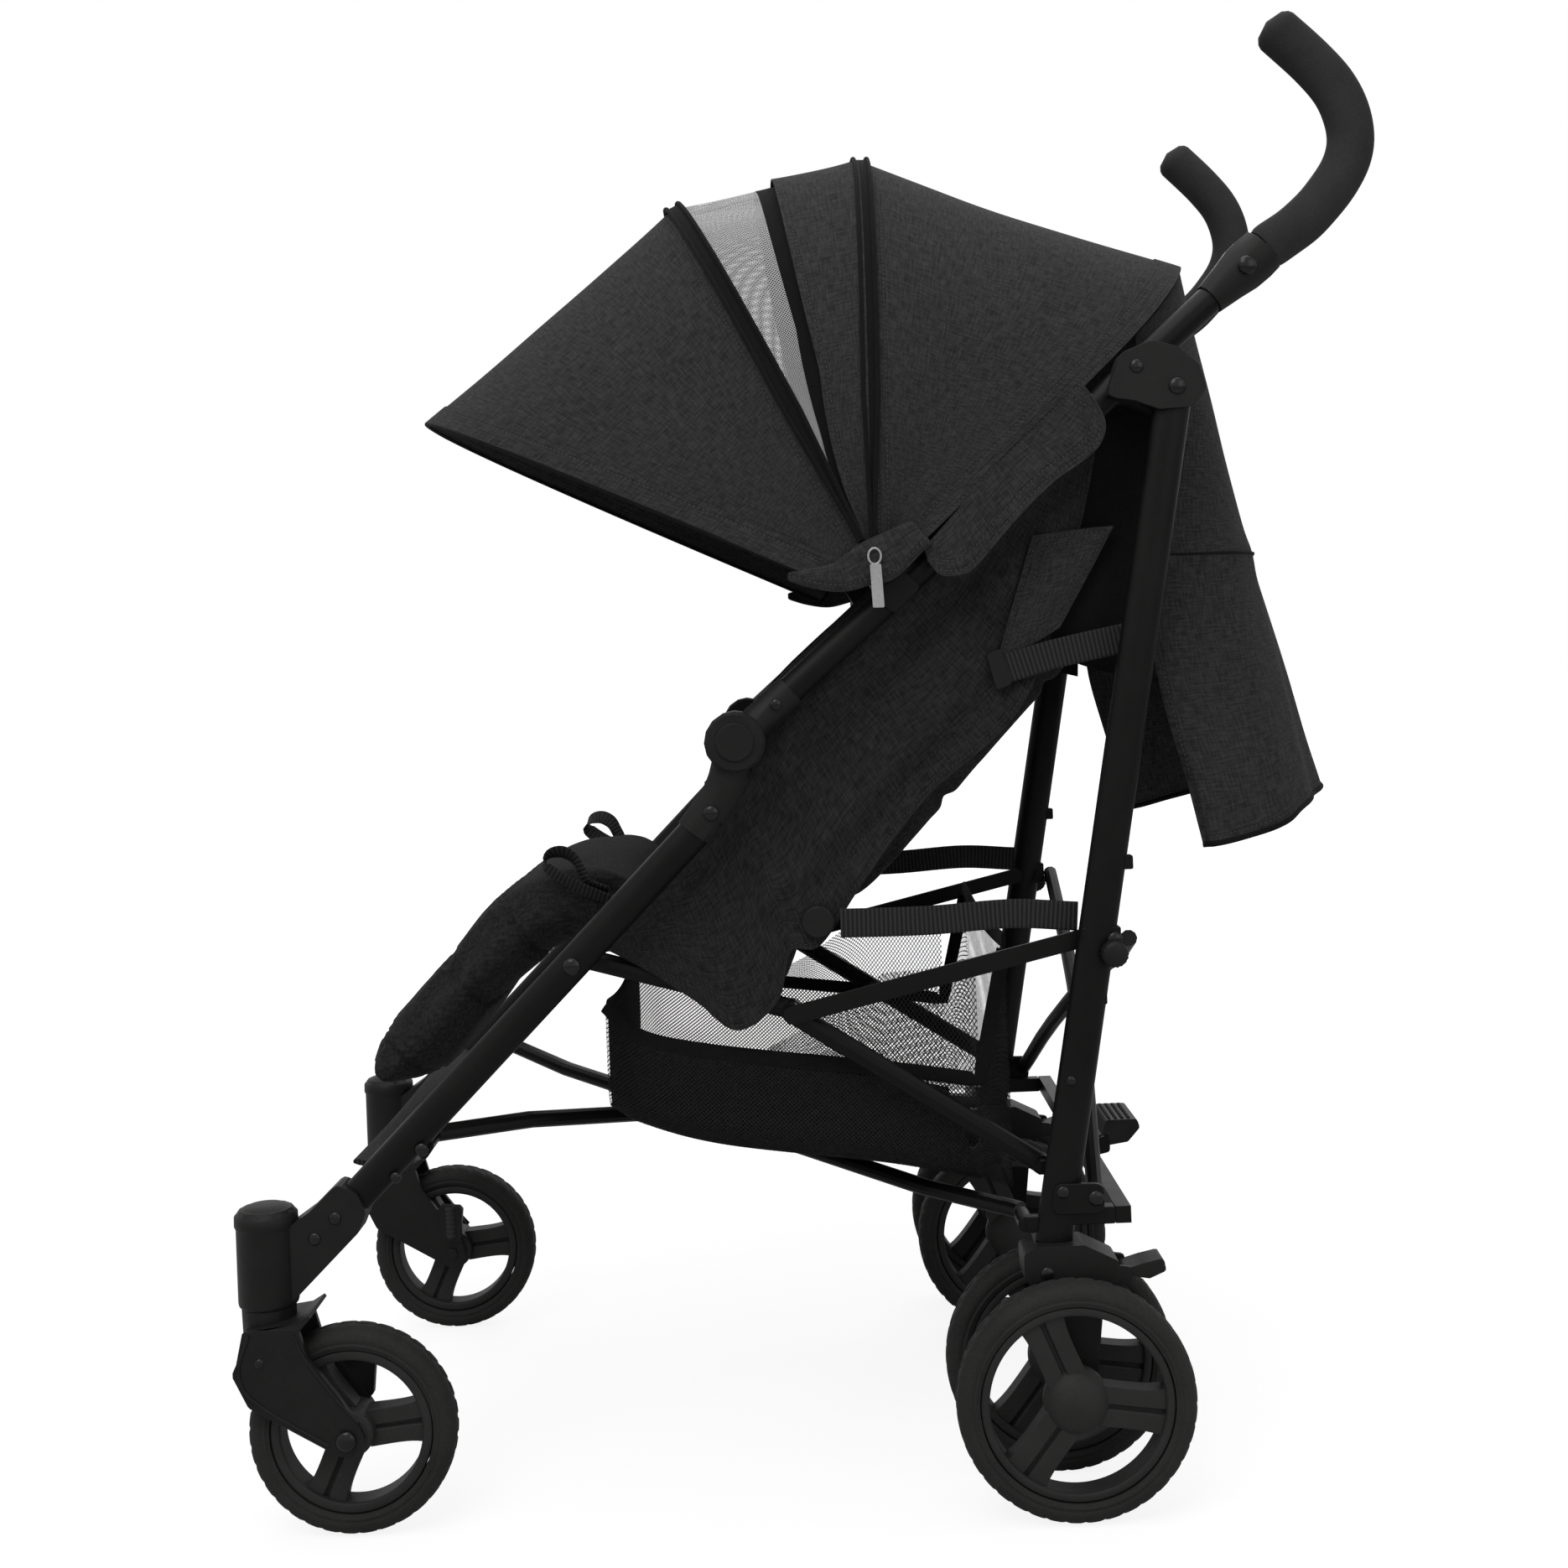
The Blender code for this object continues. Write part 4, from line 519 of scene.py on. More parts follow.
def rimParts(size, x, hubProfile, hubClosed):
    # a ring, a hub and three spokes: each an I section, wider towards the ring
    opening, rim = size["opening"], size["rim"]
    wall = [(opening, 0.66), (opening + 0.0006, 0.8), (opening + 0.002, 0.85), (rim - 0.0024, 0.85),
            (rim - 0.0008, 0.81), (rim - 0.0002, 0.7)]
    ringProfile = ([(r, x - u * wheelHalf) for r, u in wall] + [(r, x + u * wheelHalf) for r, u in reversed(wall)]
                   + [(opening + 0.0012, x)])
    parts = [turnedPart(ringProfile, size["hub"], 96, closed=True),
             turnedPart(hubProfile, size["hub"], 64, closed=hubClosed)]
    s = np.array([-1, -1, -0.15, -0.05, 0.05, 0.15, 1, 1, 0.15, 0.05, -0.05, -0.15])
    d = np.array([-0.6, 0.6, 0.6, 0.34, 0.34, 0.6, 0.6, -0.6, -0.6, -0.34, -0.34, -0.6]) * wheelHalf
    t = ramp(12, 1)
    reach = spokeFoot + (opening + 0.0015 - spokeFoot) * t
    spread = s * size["spokeHalf"] * (1 + 0.26 * t ** 5 + 0.06 * (1 - t) ** 2)
    for angle in np.radians(size["spokes"]):
        y = size["hub"][0] + shiftY + reach * math.cos(angle) - spread * math.sin(angle)
        z = size["hub"][1] + reach * math.sin(angle) + spread * math.cos(angle)
        parts.append(gridPart(np.stack([x + d + 0 * t, y, z], -1), closeV=True, capped=True))
    return parts


def frontHub(x):
    half = [(boreRadius, 0.0195), (0.0108, 0.0195), (0.0122, 0.0188), (0.0126, 0.016), (0.015, 0.0154), (0.0164, 0.014),
            (0.0168, 0.009)]
    return [(r, x - u) for r, u in half] + [(0.0171, x)] + [(r, x + u) for r, u in reversed(half)]


def rearHub(x, outward):
    dome = [(0, 0.0162), (0.0045, 0.0159), (0.009, 0.0149), (0.014, 0.013), (0.018, 0.0106), (0.0208, 0.0077),
            (0.0224, 0.0052), (0.0229, 0.0042), (0.0214, 0.0038), (0.0214, 0.0028), (0.023, 0.002), (0.0228, -0.006),
            (0.019, -0.0085), (0.0184, -0.0125), (0.017, -0.0135), (boreRadius, -0.0135), (boreRadius, 0.004), (0, 0.004)]
    return [(r, x + u * outward) for r, u in dome]


for side, tag in sides:
    for kind, where, x, outward in (("front", "", 0.208, 0), ("rear", "Outer", 0.235, 1), ("rear", "Inner", 0.15, -1)):
        end = ("_" + where.lower() if where else "") + "_" + tag.lower()
        body, size, hub = kind + "_wheel" + end, wheels[kind], rearHub(x, outward) if outward else frontHub(x)
        dress(kind + "Tyre" + where + tag, [tyrePart(size, x)], "tyre", "tyre", body, (kind + "_tyre" + end,), side=side,
              angle=38)
        dress(kind + "Rim" + where + tag, rimParts(size, x, hub, not outward), "wheel", "wheel_plastic", body,
              (kind + "_rim" + end,), side=side, angle=38, bevel=0.0005)
print("wheels made")


# tubes, joints and casters

trackX, leanOver = 0.205, 0.015
knee, handlePin, pivotPoint = np.array([-0.04, 0.548]), np.array([0.336, 0.872]), np.array([0.062, 0.67])
legPivot, legFoot = np.array([0.281, 0.787]), np.array([0.172, 0.184])
tubeTop, tubeFoot, saddlePin = np.array([-0.059, 0.497]), np.array([-0.335, 0.221]), np.array([-0.272, 0.269])
rise = unit(handlePin - knee)
tubes = {"upper": 0.0103, "lower": (0.0089, 0.0119), "leg": (0.0085, 0.0133), "grip": 0.0166}   # radii, across and deep


def leanAt(z):
    # the handles lean inwards from the knee to the handle's pin
    return trackX - leanOver * np.maximum(0, (np.asarray(z) - knee[1]) / (handlePin[1] - knee[1]))


def tubeLine(start, end, count=9):
    t = ramp(count, 1)
    return np.asarray(start) * (1 - t) + np.asarray(end) * t


def domePart(y, z, x, radius):
    # rivet head: half an ellipse spun about X, on a short flat foot
    a = np.linspace(0, math.pi / 2, 7)
    head = [(radius * math.sin(k), x + 0.46 * radius * math.cos(k)) for k in a]
    return turnedPart(head + [(radius * 0.98, x - 0.0008), (0, x - 0.0008)], (y, z), 28)


def boxPart(x0, x1, y0, y1, z0, z1, radius=0.0015):
    return prismPart(roundedOutline(((y0, z0), (y1, z0), (y1, z1), (y0, z1)), radius), x0, x1)


def upperTubeParts():
    # tube, and the hood's clip: from under the tube up to the hood's pivot
    line = tubeLine(knee + rise * 0.016, handlePin + rise * 0.0095)
    square = np.array([-rise[1], rise[0]])
    foot = pivotPoint - square * ((pivotPoint - knee) @ square)
    low, hinge = foot - square * 0.01, pivotPoint + square * 0.0085
    clip = [low - rise * 0.014, low + rise * 0.014, foot + rise * 0.014, hinge + rise * 0.0085, hinge - rise * 0.0085,
            foot - rise * 0.014]
    return [sweepPart(standUp(line, leanAt(line[:, 1])), ring(36) * tubes["upper"]),
            prismPart(roundedOutline(clip, 0.005), float(leanAt(pivotPoint[1])) - 0.0063, 0.2128)]


def lowerTubeParts():
    saddle = saddlePin + np.array([(0.008, 0), (0, 0.011), (-0.012, 0), (0, -0.011)])
    return [sweepPart(standUp(tubeLine(tubeTop, tubeFoot), trackX), ring(40) * np.array(tubes["lower"])),
            pinPart(saddlePin, 0.0065, 0.1779, 0.203), prismPart(roundedOutline(saddle, 0.004), 0.1941, 0.204)]


def rearLegParts():
    up = unit(legPivot - legFoot)
    stops = [legFoot, *(legPivot + up * k for k in (-0.5, -0.3, -0.1, -0.01, 0.0, 0.005, 0.009, 0.0108, 0.0112))]
    deep = np.array([1, 1, 1, 1, 1, 0.97, 0.88, 0.7, 0.45, 0.05])
    scale = np.stack([np.where(deep < 0.2, 0.05, 1.0), deep], 1)
    plate = roundedOutline(((0.173, 0.228), (0.208, 0.227), (0.208, 0.206), (0.171, 0.206)), 0.006)
    blocks = ((0.199, 0.211, 0.2, 0.2277, 0.389, 0.407), (0.199, 0.21, 0.176, 0.2162, 0.197, 0.209),
              (0.201, 0.209, 0.2, 0.2165, 0.352, 0.385), (0.201, 0.209, 0.22, 0.2385, 0.447, 0.457),
              (0.199, 0.207, 0.153, 0.172, 0.192, 0.203))
    return [sweepPart(standUp(stops, trackX), ring(40) * np.array(tubes["leg"]), scale=scale),
            prismPart(plate, 0.2105, 0.2153), *(boxPart(*block) for block in blocks),
            pinPart((0.153, 0.1975), 0.0055, 0.1793, 0.206)]


def gripParts():
    # closed foam tube bent over into a hook, its radius r(s) easing to a round end
    path = [handlePin + rise * 0.0206, (0.381, 0.905), (0.403, 0.928), (0.416, 0.95), (0.4185, 0.972), (0.411, 0.997),
            (0.394, 1.02), (0.3625, 1.0515)]
    line = evenLine(smoothLine(path, 12), 64)
    s = np.concatenate([[0], np.cumsum(np.linalg.norm(np.diff(line, axis=0), axis=1))])
    left = s[-1] - s
    size = np.sqrt(np.clip(1 - np.clip(1 - left / 0.011, 0, 1) ** 2, 0, 1)) * (1 - 0.1 * np.exp(-s / 0.0025))
    size = size * (1 + 0.01 * np.sin(s * 210) * np.exp(-s / 0.08))
    return [sweepPart(standUp(line, leanAt(line[:, 1])), ring(40) * tubes["grip"], scale=np.maximum(size, 0.02))]


def bellowsParts():
    # ribbed spring cover: the radius swells at each of seven ribs, 5 mm in the middle
    ribs = 0.005 * (1 - 0.16 * (0.5 + 0.5 * np.cos(2 * math.pi * 7 * ramp(61))))
    return [sweepPart(standUp(tubeLine((-0.327, 0.0885), (-0.3275, 0.117), 61), 0.1812), ring(24), scale=ribs)]


# rivets and screw heads: y, z, x and radius
fastenings = {
    "frame": ((*handlePin, 0.2068, 0.0068), (0.253, 0.802, 0.2162, 0.005), (*legPivot, 0.2162, 0.0062),
              (-0.0586, 0.4987, 0.2162, 0.0056), (-0.161, 0.394, 0.214, 0.0062), (*saddlePin, 0.214, 0.0048),
              (-0.291, 0.25, 0.2138, 0.004), (-0.334, 0.224, 0.2175, 0.0046), (-0.349, 0.21, 0.2175, 0.0046),
              (-0.01, 0.5735, 0.2175, 0.004)),
    "rear_frame": ((0.165, 0.167, 0.2215, 0.005), (0.179, 0.222, 0.2153, 0.0046), (0.202, 0.217, 0.2153, 0.0056),
                   (0.223, 0.398, 0.211, 0.0056), (0.188, 0.3, 0.2133, 0.0034)),
    "caster": ((-0.328, 0.0735, 0.2345, 0.0072), (-0.387, 0.129, 0.2322, 0.0036)),
}
# looks of the CAD solids that stay as they are, by the start of their names
cadFinishes = {"rear_cross": "paint", "seat_tube": "paint", "stay": "paint", "link": "paint", "floor_bar": "paint",
               "bow_": "plastic", "lock_brace": "paint"}
for node, item in nodes.items():
    for start, look in cadFinishes.items():
        if node.startswith(start):
            item.data.materials.clear()
            item.data.materials.append(looks[look])

barrel = [(0, 0.2338), (0.008, 0.2336), (0.013, 0.2328), (0.018, 0.2306), (0.0205, 0.2282), (0.022, 0.2266),
          (0.0222, 0.22), (0.0213, 0.2182), (0.0211, 0.2176), (0.0211, 0.166), (0.0206, 0.164), (0.02, 0.1633),
          (0, 0.1633)]
ridgeLines = (((-0.3935, 0.149), (-0.401, 0.123), (-0.39, 0.102), (-0.34, 0.07)),
              ((-0.362, 0.148), (-0.356, 0.133), (-0.337, 0.106), (-0.32, 0.086)))
ridges = [sweepPart(standUp(smoothLine(line, 8), 0.2326), ring(10) * 0.0011) for line in ridgeLines]
knob = turnedPart([(0, 0.223), (0.006, 0.2228), (0.0088, 0.2214), (0.0096, 0.219), (0.0096, 0.214), (0.007, 0.2134),
                   (0.007, 0.209), (0, 0.209)], (0.2215, 0.389), 40,
                  ripple=lambda a, x, r: 0.0004 * np.cos(18 * a) * (r > 0.009))
for side, tag in sides:
    end = "_" + tag.lower()
    caster = "caster" + end
    for label, parts, look, slotName, node, body, options in (
            ("upperTube", upperTubeParts(), "paint", "black_tube", "upper_tube", "frame", {"angle": 38, "bevel": 0.0006}),
            ("lowerTube", lowerTubeParts(), "paint", "black_tube", "lower_tube", "frame", {"angle": 38, "bevel": 0.0006}),
            ("rearLeg", rearLegParts(), "paint", "black_tube", "rear_leg", "rear_frame", {"angle": 38, "bevel": 0.0006}),
            ("handleGrip", gripParts(), "foam", "grip_foam", "handle_grip", "frame", {"angle": 60})):
        dress(label + tag, parts, look, slotName, body, (node + end,), side=side, **options)
    for label, node, bevel, body in (
            ("knee", "knee", 0.0009, "frame"), ("handleSocket", "handle_socket", 0.0005, "frame"),
            ("legBracket", "leg_bracket", 0.0012, "frame"), ("casterHead", "caster_head", 0.0009, "frame"),
            ("reclineHinge", "recline_hinge", 0.0004, "frame"), ("fork", "fork", 0.0008, caster),
            ("axleHousing", "axle_housing", 0.001, "rear_frame"), ("brakePedal", "brake_pedal", 0.0008, "brake" + end)):
        roundedCopy(label + tag, node + end, bevel, body)
    sleeve = turnedPart(barrel, (0.208, -0.385), 48, upright=True)
    dress("casterSleeve" + tag, [sleeve], "plastic", "black_plastic", "frame", side=side)
    for where, rivets in fastenings.items():
        dress("rivets" + where.title().replace("_", "") + tag, [domePart(*rivet) for rivet in rivets], "rivet",
              "black_plastic", caster if where == "caster" else where, side=side)
    for label, parts, look, body, angle in (
            ("forkRidges", ridges, "plastic", caster, 60), ("springCover", bellowsParts(), "foam", caster, 60),
            ("strapKnob", [knob], "plastic", "rear_frame", 50)):
        dress(label + tag, parts, look, "black_plastic", body, side=side, angle=angle)
roundedCopy("foldPedalPad", "fold_pedal", 0.0008, "fold_pedal")
treads = [boxPart(-0.025, 0.025, 0.2425 + k * 0.0052, 0.2448 + k * 0.0052, 0.2248, 0.226, 0.0004) for k in range(4)]
dress("foldPedalRibs", treads, "foam", "black_plastic", "fold_pedal", angle=40, bevel=0.0003)
strapLine = np.stack([np.linspace(-0.1955, 0.1955, 41), np.full(41, -0.3065 + shiftY),
                      0.2538 - 0.0035 * np.cos(np.linspace(-1, 1, 41) * math.pi / 2)], 1)
dress("footStrap", [sweepPart(strapLine, band(0.038, 0.0042), across=(0, 1, -0.25))], "webbing", "black_plastic", "frame",
      ("footrest",), angle=60)
print("frame dressed")


# hood

hood = {"layers": (0.214, 0.216, 0.218), "lift": 0.0044, "skin": 0.0014, "rearAngle": 88.5, "rearHeight": 0.322,
        "middleAngle": 115.6, "middleHeight": 0.322, "hemBase": (0.045, 0.65), "hemAngle": 155.0, "hemHeight": 0.357,
        "hemPower": 2.4, "bandWidth": 0.02, "backBase": (0.084, 0.672), "backAngle": 41.5, "backTurn": 3.0,
        "backHeight": 0.326, "pipingRadius": 0.0017, "pipingGap": 0.0052, "tapeWidth": 0.012, "tapeProud": 0.0017,
        "flapX": 0.2196, "flapThick": 0.0016, "cornerX": 0.224}
layerRear, layerMiddle, layerFront = hood["layers"]
archStart = math.radians(1.3)
pivot3 = standUp(pivotPoint, 0.0)


def archAt(base, angle, half, height, turn, t, power=2.6):
    # x = half sgn(cos t)|cos t|^(2/power); out along the angle by height sin(t)^(2/power); the crown tips by turn sin(t)^4
    a = np.radians(angle + turn * np.sin(t) ** 4)
    r = height * np.clip(np.sin(t), 0, 1) ** (2 / power)
    x = half * np.sign(np.cos(t)) * np.abs(np.cos(t)) ** (2 / power)
    return np.stack([x, base[0] + shiftY + np.cos(a) * r, base[1] + np.sin(a) * r], 1)


def arch(base, angle, layer, height, turn=0.0, power=2.6, count=141):
    t = np.linspace(archStart, math.pi - archStart, 1201)
    return evenLine(archAt(base, angle, layer + hood["lift"], height + hood["lift"], turn, t, power), count)


def radiusFrom(points):
    return np.linalg.norm((points - pivot3)[..., 1:], axis=-1)


def outwardsAt(points):
    # away from the pivot's axis, and a little less so sideways
    return unit(points * np.array([0.55, 1, 1]) - pivot3)


def squareTo(angle):
    # square to an arch's plane
    a = math.radians(angle + 90)
    return np.array([0, math.cos(a), math.sin(a)])


def clothBetween(first, last, rows, sag, seed, crease=1.0):
    # rows between two arches: lerp + sag 4t(1-t) inwards, creases that fan out of the pivot and long soft waves
    t = ramp(rows, 2)
    grid = first[None] * (1 - t) + last[None] * t
    inward = pivot3 - grid
    inward[..., 0] = -0.55 * grid[..., 0]
    r, share, t = radiusFrom(grid), ramp(grid.shape[1])[None], t[..., 0]
    bell = 4 * t * (1 - t)
    fan = np.sin(t * 9.0 + seed) + 0.7 * np.sin(t * 17.0 + 2.1 * seed)
    waves = np.sin(share * 21 + 3 * t + seed) * np.sin(t * 4 + seed) + 0.6 * np.sin(share * 47 - 5 * t + 2 * seed)
    amount = sag * bell + crease * bell ** 0.5 * (0.0011 * fan * np.exp(-r / 0.16) + 0.00055 * waves)
    return grid + unit(inward) * (amount * np.clip(r / 0.03, 0, 1))[..., None]


rearArch = arch(pivotPoint, hood["rearAngle"], layerRear, hood["rearHeight"])
middleArch = arch(pivotPoint, hood["middleAngle"], layerMiddle, hood["middleHeight"])
hemArch = arch(hood["hemBase"], hood["hemAngle"], layerFront + 0.0016, hood["hemHeight"], power=hood["hemPower"])
backArch = arch(hood["backBase"], hood["backAngle"], layerRear, hood["backHeight"], hood["backTurn"])
offRear, offMiddle = squareTo(hood["rearAngle"]) * 0.0008, squareTo(hood["middleAngle"]) * 0.0008

# front panel, over the front bow and out to the hem
frontGrid = clothBetween(middleArch + offMiddle, hemArch, 61, 0.002, 0.4)
hoodFront = dress("hoodFrontCloth", clothPart(frontGrid, hood["skin"], ("u0", "u1")), "clothDouble", "charcoal_fabric",
                  stands=("hood_front",))
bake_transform(hoodFront)

# rear panel, from the rear edge up to the rear bow
backGrid = clothBetween(backArch, rearArch - offRear, 61, 0.0035, 1.9)
hoodBack = dress("hoodRearCloth", clothPart(backGrid, hood["skin"], ("u0", "u1")), "clothDouble", "charcoal_fabric",
                 stands=("hood_back",))
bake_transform(hoodBack)

# top panel: cloth behind the window's edge, net in front of it
topRows = clothBetween(rearArch + offRear, middleArch - offMiddle, 81, 0.003, 3.1, 0.7)


def shareAt(radii, angles):
    # how far round from the rear bow to the middle bow an edge lies, from its angle at some radii
    angle = np.interp(radiusFrom(rearArch), radii, angles)
    return (angle - hood["rearAngle"]) / (hood["middleAngle"] - hood["rearAngle"])


def atShare(grid, share):
    # the row of a grid at a share of its length that changes from column to column
    at = np.clip(share, 0, 1) * (len(grid) - 1)
    i, j = np.minimum(at.astype(int), len(grid) - 2), np.arange(grid.shape[1])
    f = (at - i)[:, None]
    return grid[i, j] * (1 - f) + grid[i + 1, j] * f


def shareGrid(grid, first, last, rows):
    return np.stack([atShare(grid, first * (1 - k) + last * k) for k in ramp(rows)])


edgeShare = shareAt([0.05, 0.1, 0.183, 0.311], [115.0, 110.0, 105.6, 103.8])
flapShare = shareAt([0.05, 0.145, 0.3275], [110.0, 103.1, 101.1])
topGrid = shareGrid(topRows, 0 * edgeShare, edgeShare, 31)
netGrid = shareGrid(topRows, edgeShare, 0 * edgeShare + 1, 41)
flapGrid = shareGrid(topRows, 0 * edgeShare + 0.01, flapShare, 31)
out, t = outwardsAt(flapGrid), ramp(len(flapGrid), 1)
stand = (0.002 + 0.0048 * t ** 1.5 * np.clip(radiusFrom(flapGrid) / 0.3, 0, 1) ** 2
         + 0.0009 * t * np.sin(np.linspace(0, 40, flapGrid.shape[1]))[None])
flapGrid = flapGrid + out * (stand * np.clip(radiusFrom(flapGrid) / 0.05, 0, 1))[..., None]
hoodTop = dress("hoodTopCloth", clothPart(topGrid, hood["skin"], ("u0",)), "lining", "charcoal_fabric",
                stands=("hood_window",))
hoodNet = dress("hoodWindowNet", clothPart(netGrid, 0.0009, ()), "net", "grey_mesh")
hoodFlap = dress("hoodWindowFlap", clothPart(flapGrid, 0.0018, ("u1",)), "cloth", "charcoal_fabric")
for item in (hoodTop, hoodNet, hoodFlap):
    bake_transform(item)


def pipingParts(line, offsets, angle):
    # cords of a small round section laid side by side along an arch, closing up towards the pivot
    close = np.clip(radiusFrom(line) / 0.12, 0.25, 1)[:, None]
    square = squareTo(angle)
    section = ring(10) * hood["pipingRadius"]
    return [sweepPart(line + square * offset * close, section, across=square + np.array([0.001, 0, 0]))
            for offset in offsets]


def tapeGrid(line, width, proud, angle):
    # a flat tape along an arch, standing proud of the cloth, its edges eased down to it
    v = np.linspace(-0.5, 0.5, 7)[:, None, None]
    close = np.clip(radiusFrom(line) / 0.1, 0.3, 1)[None, :, None]
    return line[None] + squareTo(angle) * (v * width * close) + outwardsAt(line)[None] * (proud - 0.001 * (2 * v) ** 4)


pipings = []
for name, body, line, angle in (("Rear", "bow_rear", rearArch, hood["rearAngle"]),
                                ("Middle", "bow_middle", middleArch, hood["middleAngle"])):
    cords = pipingParts(line + outwardsAt(line) * 0.003, (-hood["pipingGap"], hood["pipingGap"]), angle)
    tape = tapeGrid(line, hood["tapeWidth"], hood["tapeProud"], angle)
    pipings += [dress("hoodTape" + name, clothPart(tape, 0.001, ()), "binding", "charcoal_fabric", body),
                dress("hoodPiping" + name, cords, "binding", "charcoal_fabric", body)]


def hemBand(grid, atEnd):
    # a strip along the first or last row of a panel, moved outwards
    reach = np.linalg.norm(np.diff(grid, axis=0), axis=2).sum(0)
    share = np.minimum(hood["bandWidth"] / np.maximum(reach, 1e-4), 0.75)
    strip = shareGrid(grid, 1 - share, 0 * share + 1, 9) if atEnd else shareGrid(grid, 0 * share, share, 9)
    return strip + outwardsAt(strip) * 0.0013


hemTape = dress("hoodHemBand", clothPart(hemBand(frontGrid, True), 0.0012, ("u0",)), "cloth", "charcoal_fabric",
                "bow_front")
hemCord = dress("hoodHemPiping", pipingParts(hemArch, (0.0,), hood["hemAngle"]), "binding", "charcoal_fabric",
                "bow_front")
rearTape = dress("hoodRearBand", clothPart(hemBand(backGrid, False), 0.0012, ("u0", "u1")), "clothDouble",
                 "charcoal_fabric", "frame")

# side flaps below the rear edge, corners under the pivots, and the zip pulls on them
flapTop = smoothLine([(0.098, 0.679), (0.128, 0.711), (0.159, 0.742), (0.19, 0.769), (0.214, 0.79)], 12)
flapFoot = smoothLine([(0.101, 0.67), (0.108, 0.6605), (0.12, 0.659), (0.133, 0.664), (0.16, 0.693), (0.188, 0.72),
                       (0.216, 0.739), (0.226, 0.75), (0.2285, 0.764), (0.22, 0.782)], 12)
cornerTop = smoothLine([(0.002, 0.665), (0.02, 0.668), (0.036, 0.672), (0.052, 0.683), (0.068, 0.69),
                        (0.09, 0.6985)], 10)
cornerFoot = smoothLine([(0.002, 0.66), (0.02, 0.654), (0.04, 0.651), (0.06, 0.655), (0.078, 0.66),
                         (0.103, 0.683)], 10)
zipOutline = roundedOutline([(0.0592, 0.669), (0.0672, 0.669), (0.0685, 0.6385), (0.0603, 0.6385)], 0.0012)
turn = np.linspace(0, 2 * math.pi, 33)[:-1]
loopLine = standUp(np.stack([0.0628 + 0.0044 * np.cos(turn), 0.6745 + 0.0056 * np.sin(turn)], 1), 0.2288)
section = (ring(10) * 0.0009)[None]
e2 = np.cross(unit(np.roll(loopLine, -1, 0) - np.roll(loopLine, 1, 0)), [1.0, 0, 0])
torus = loopLine[:, None] + section[..., :1] * np.array([1.0, 0, 0]) + section[..., 1:] * e2[:, None]
zipParts = [gridPart(torus, closeU=True, closeV=True), prismPart(zipOutline, 0.228, 0.2296)]
for side, tag in sides:
    flat, t = loft(flapTop, flapFoot, 19, 61), ramp(19, 1)
    wave = 0.0012 * np.sin(flat[..., 0] * 95 + 4 * t) * t
    sideGrid = standUp(flat, side * (hood["flapX"] + 0.0012 * t + wave))
    sideFlap = dress("hoodSideFlap" + tag, clothPart(sideGrid, hood["flapThick"], ("u1", "v0", "v1")), "clothDouble",
                     "charcoal_fabric", "frame")
    t, v = ramp(15, 1), ramp(41)[None]
    edge = np.minimum(np.minimum(t, 1 - t) / 0.25, np.minimum(v, 1 - v) / 0.12)
    belly = 0.0028 * np.sin(np.clip(edge, 0, 1) * math.pi / 2)
    cornerGrid = standUp(loft(cornerTop, cornerFoot, 15, 41), side * (hood["cornerX"] + belly))
    corner = dress("hoodCorner" + tag, clothPart(cornerGrid, hood["skin"], ("u1",)), "cloth", "charcoal_fabric")
    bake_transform(corner)
    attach(makePiece("zipPull" + tag, zipParts, "silver", 40, 0.0003, side=side), "frame")
print("hood made")


# rear curtain

# levels are heights with how far back the cloth hangs there, fronts how far forward its sides reach
curtain = {"levels": ((0.79, 0.336), (0.72, 0.352), (0.65, 0.369), (0.575, 0.386), (0.51, 0.398), (0.458, 0.408)),
           "fronts": (0.264, 0.259, 0.261, 0.271, 0.287, 0.298), "halfTop": 0.156, "halfHem": 0.166, "inset": 0.0022,
           "fold": 0.0045, "hemRise": 0.034, "seam": 0.52, "thick": 0.0022}


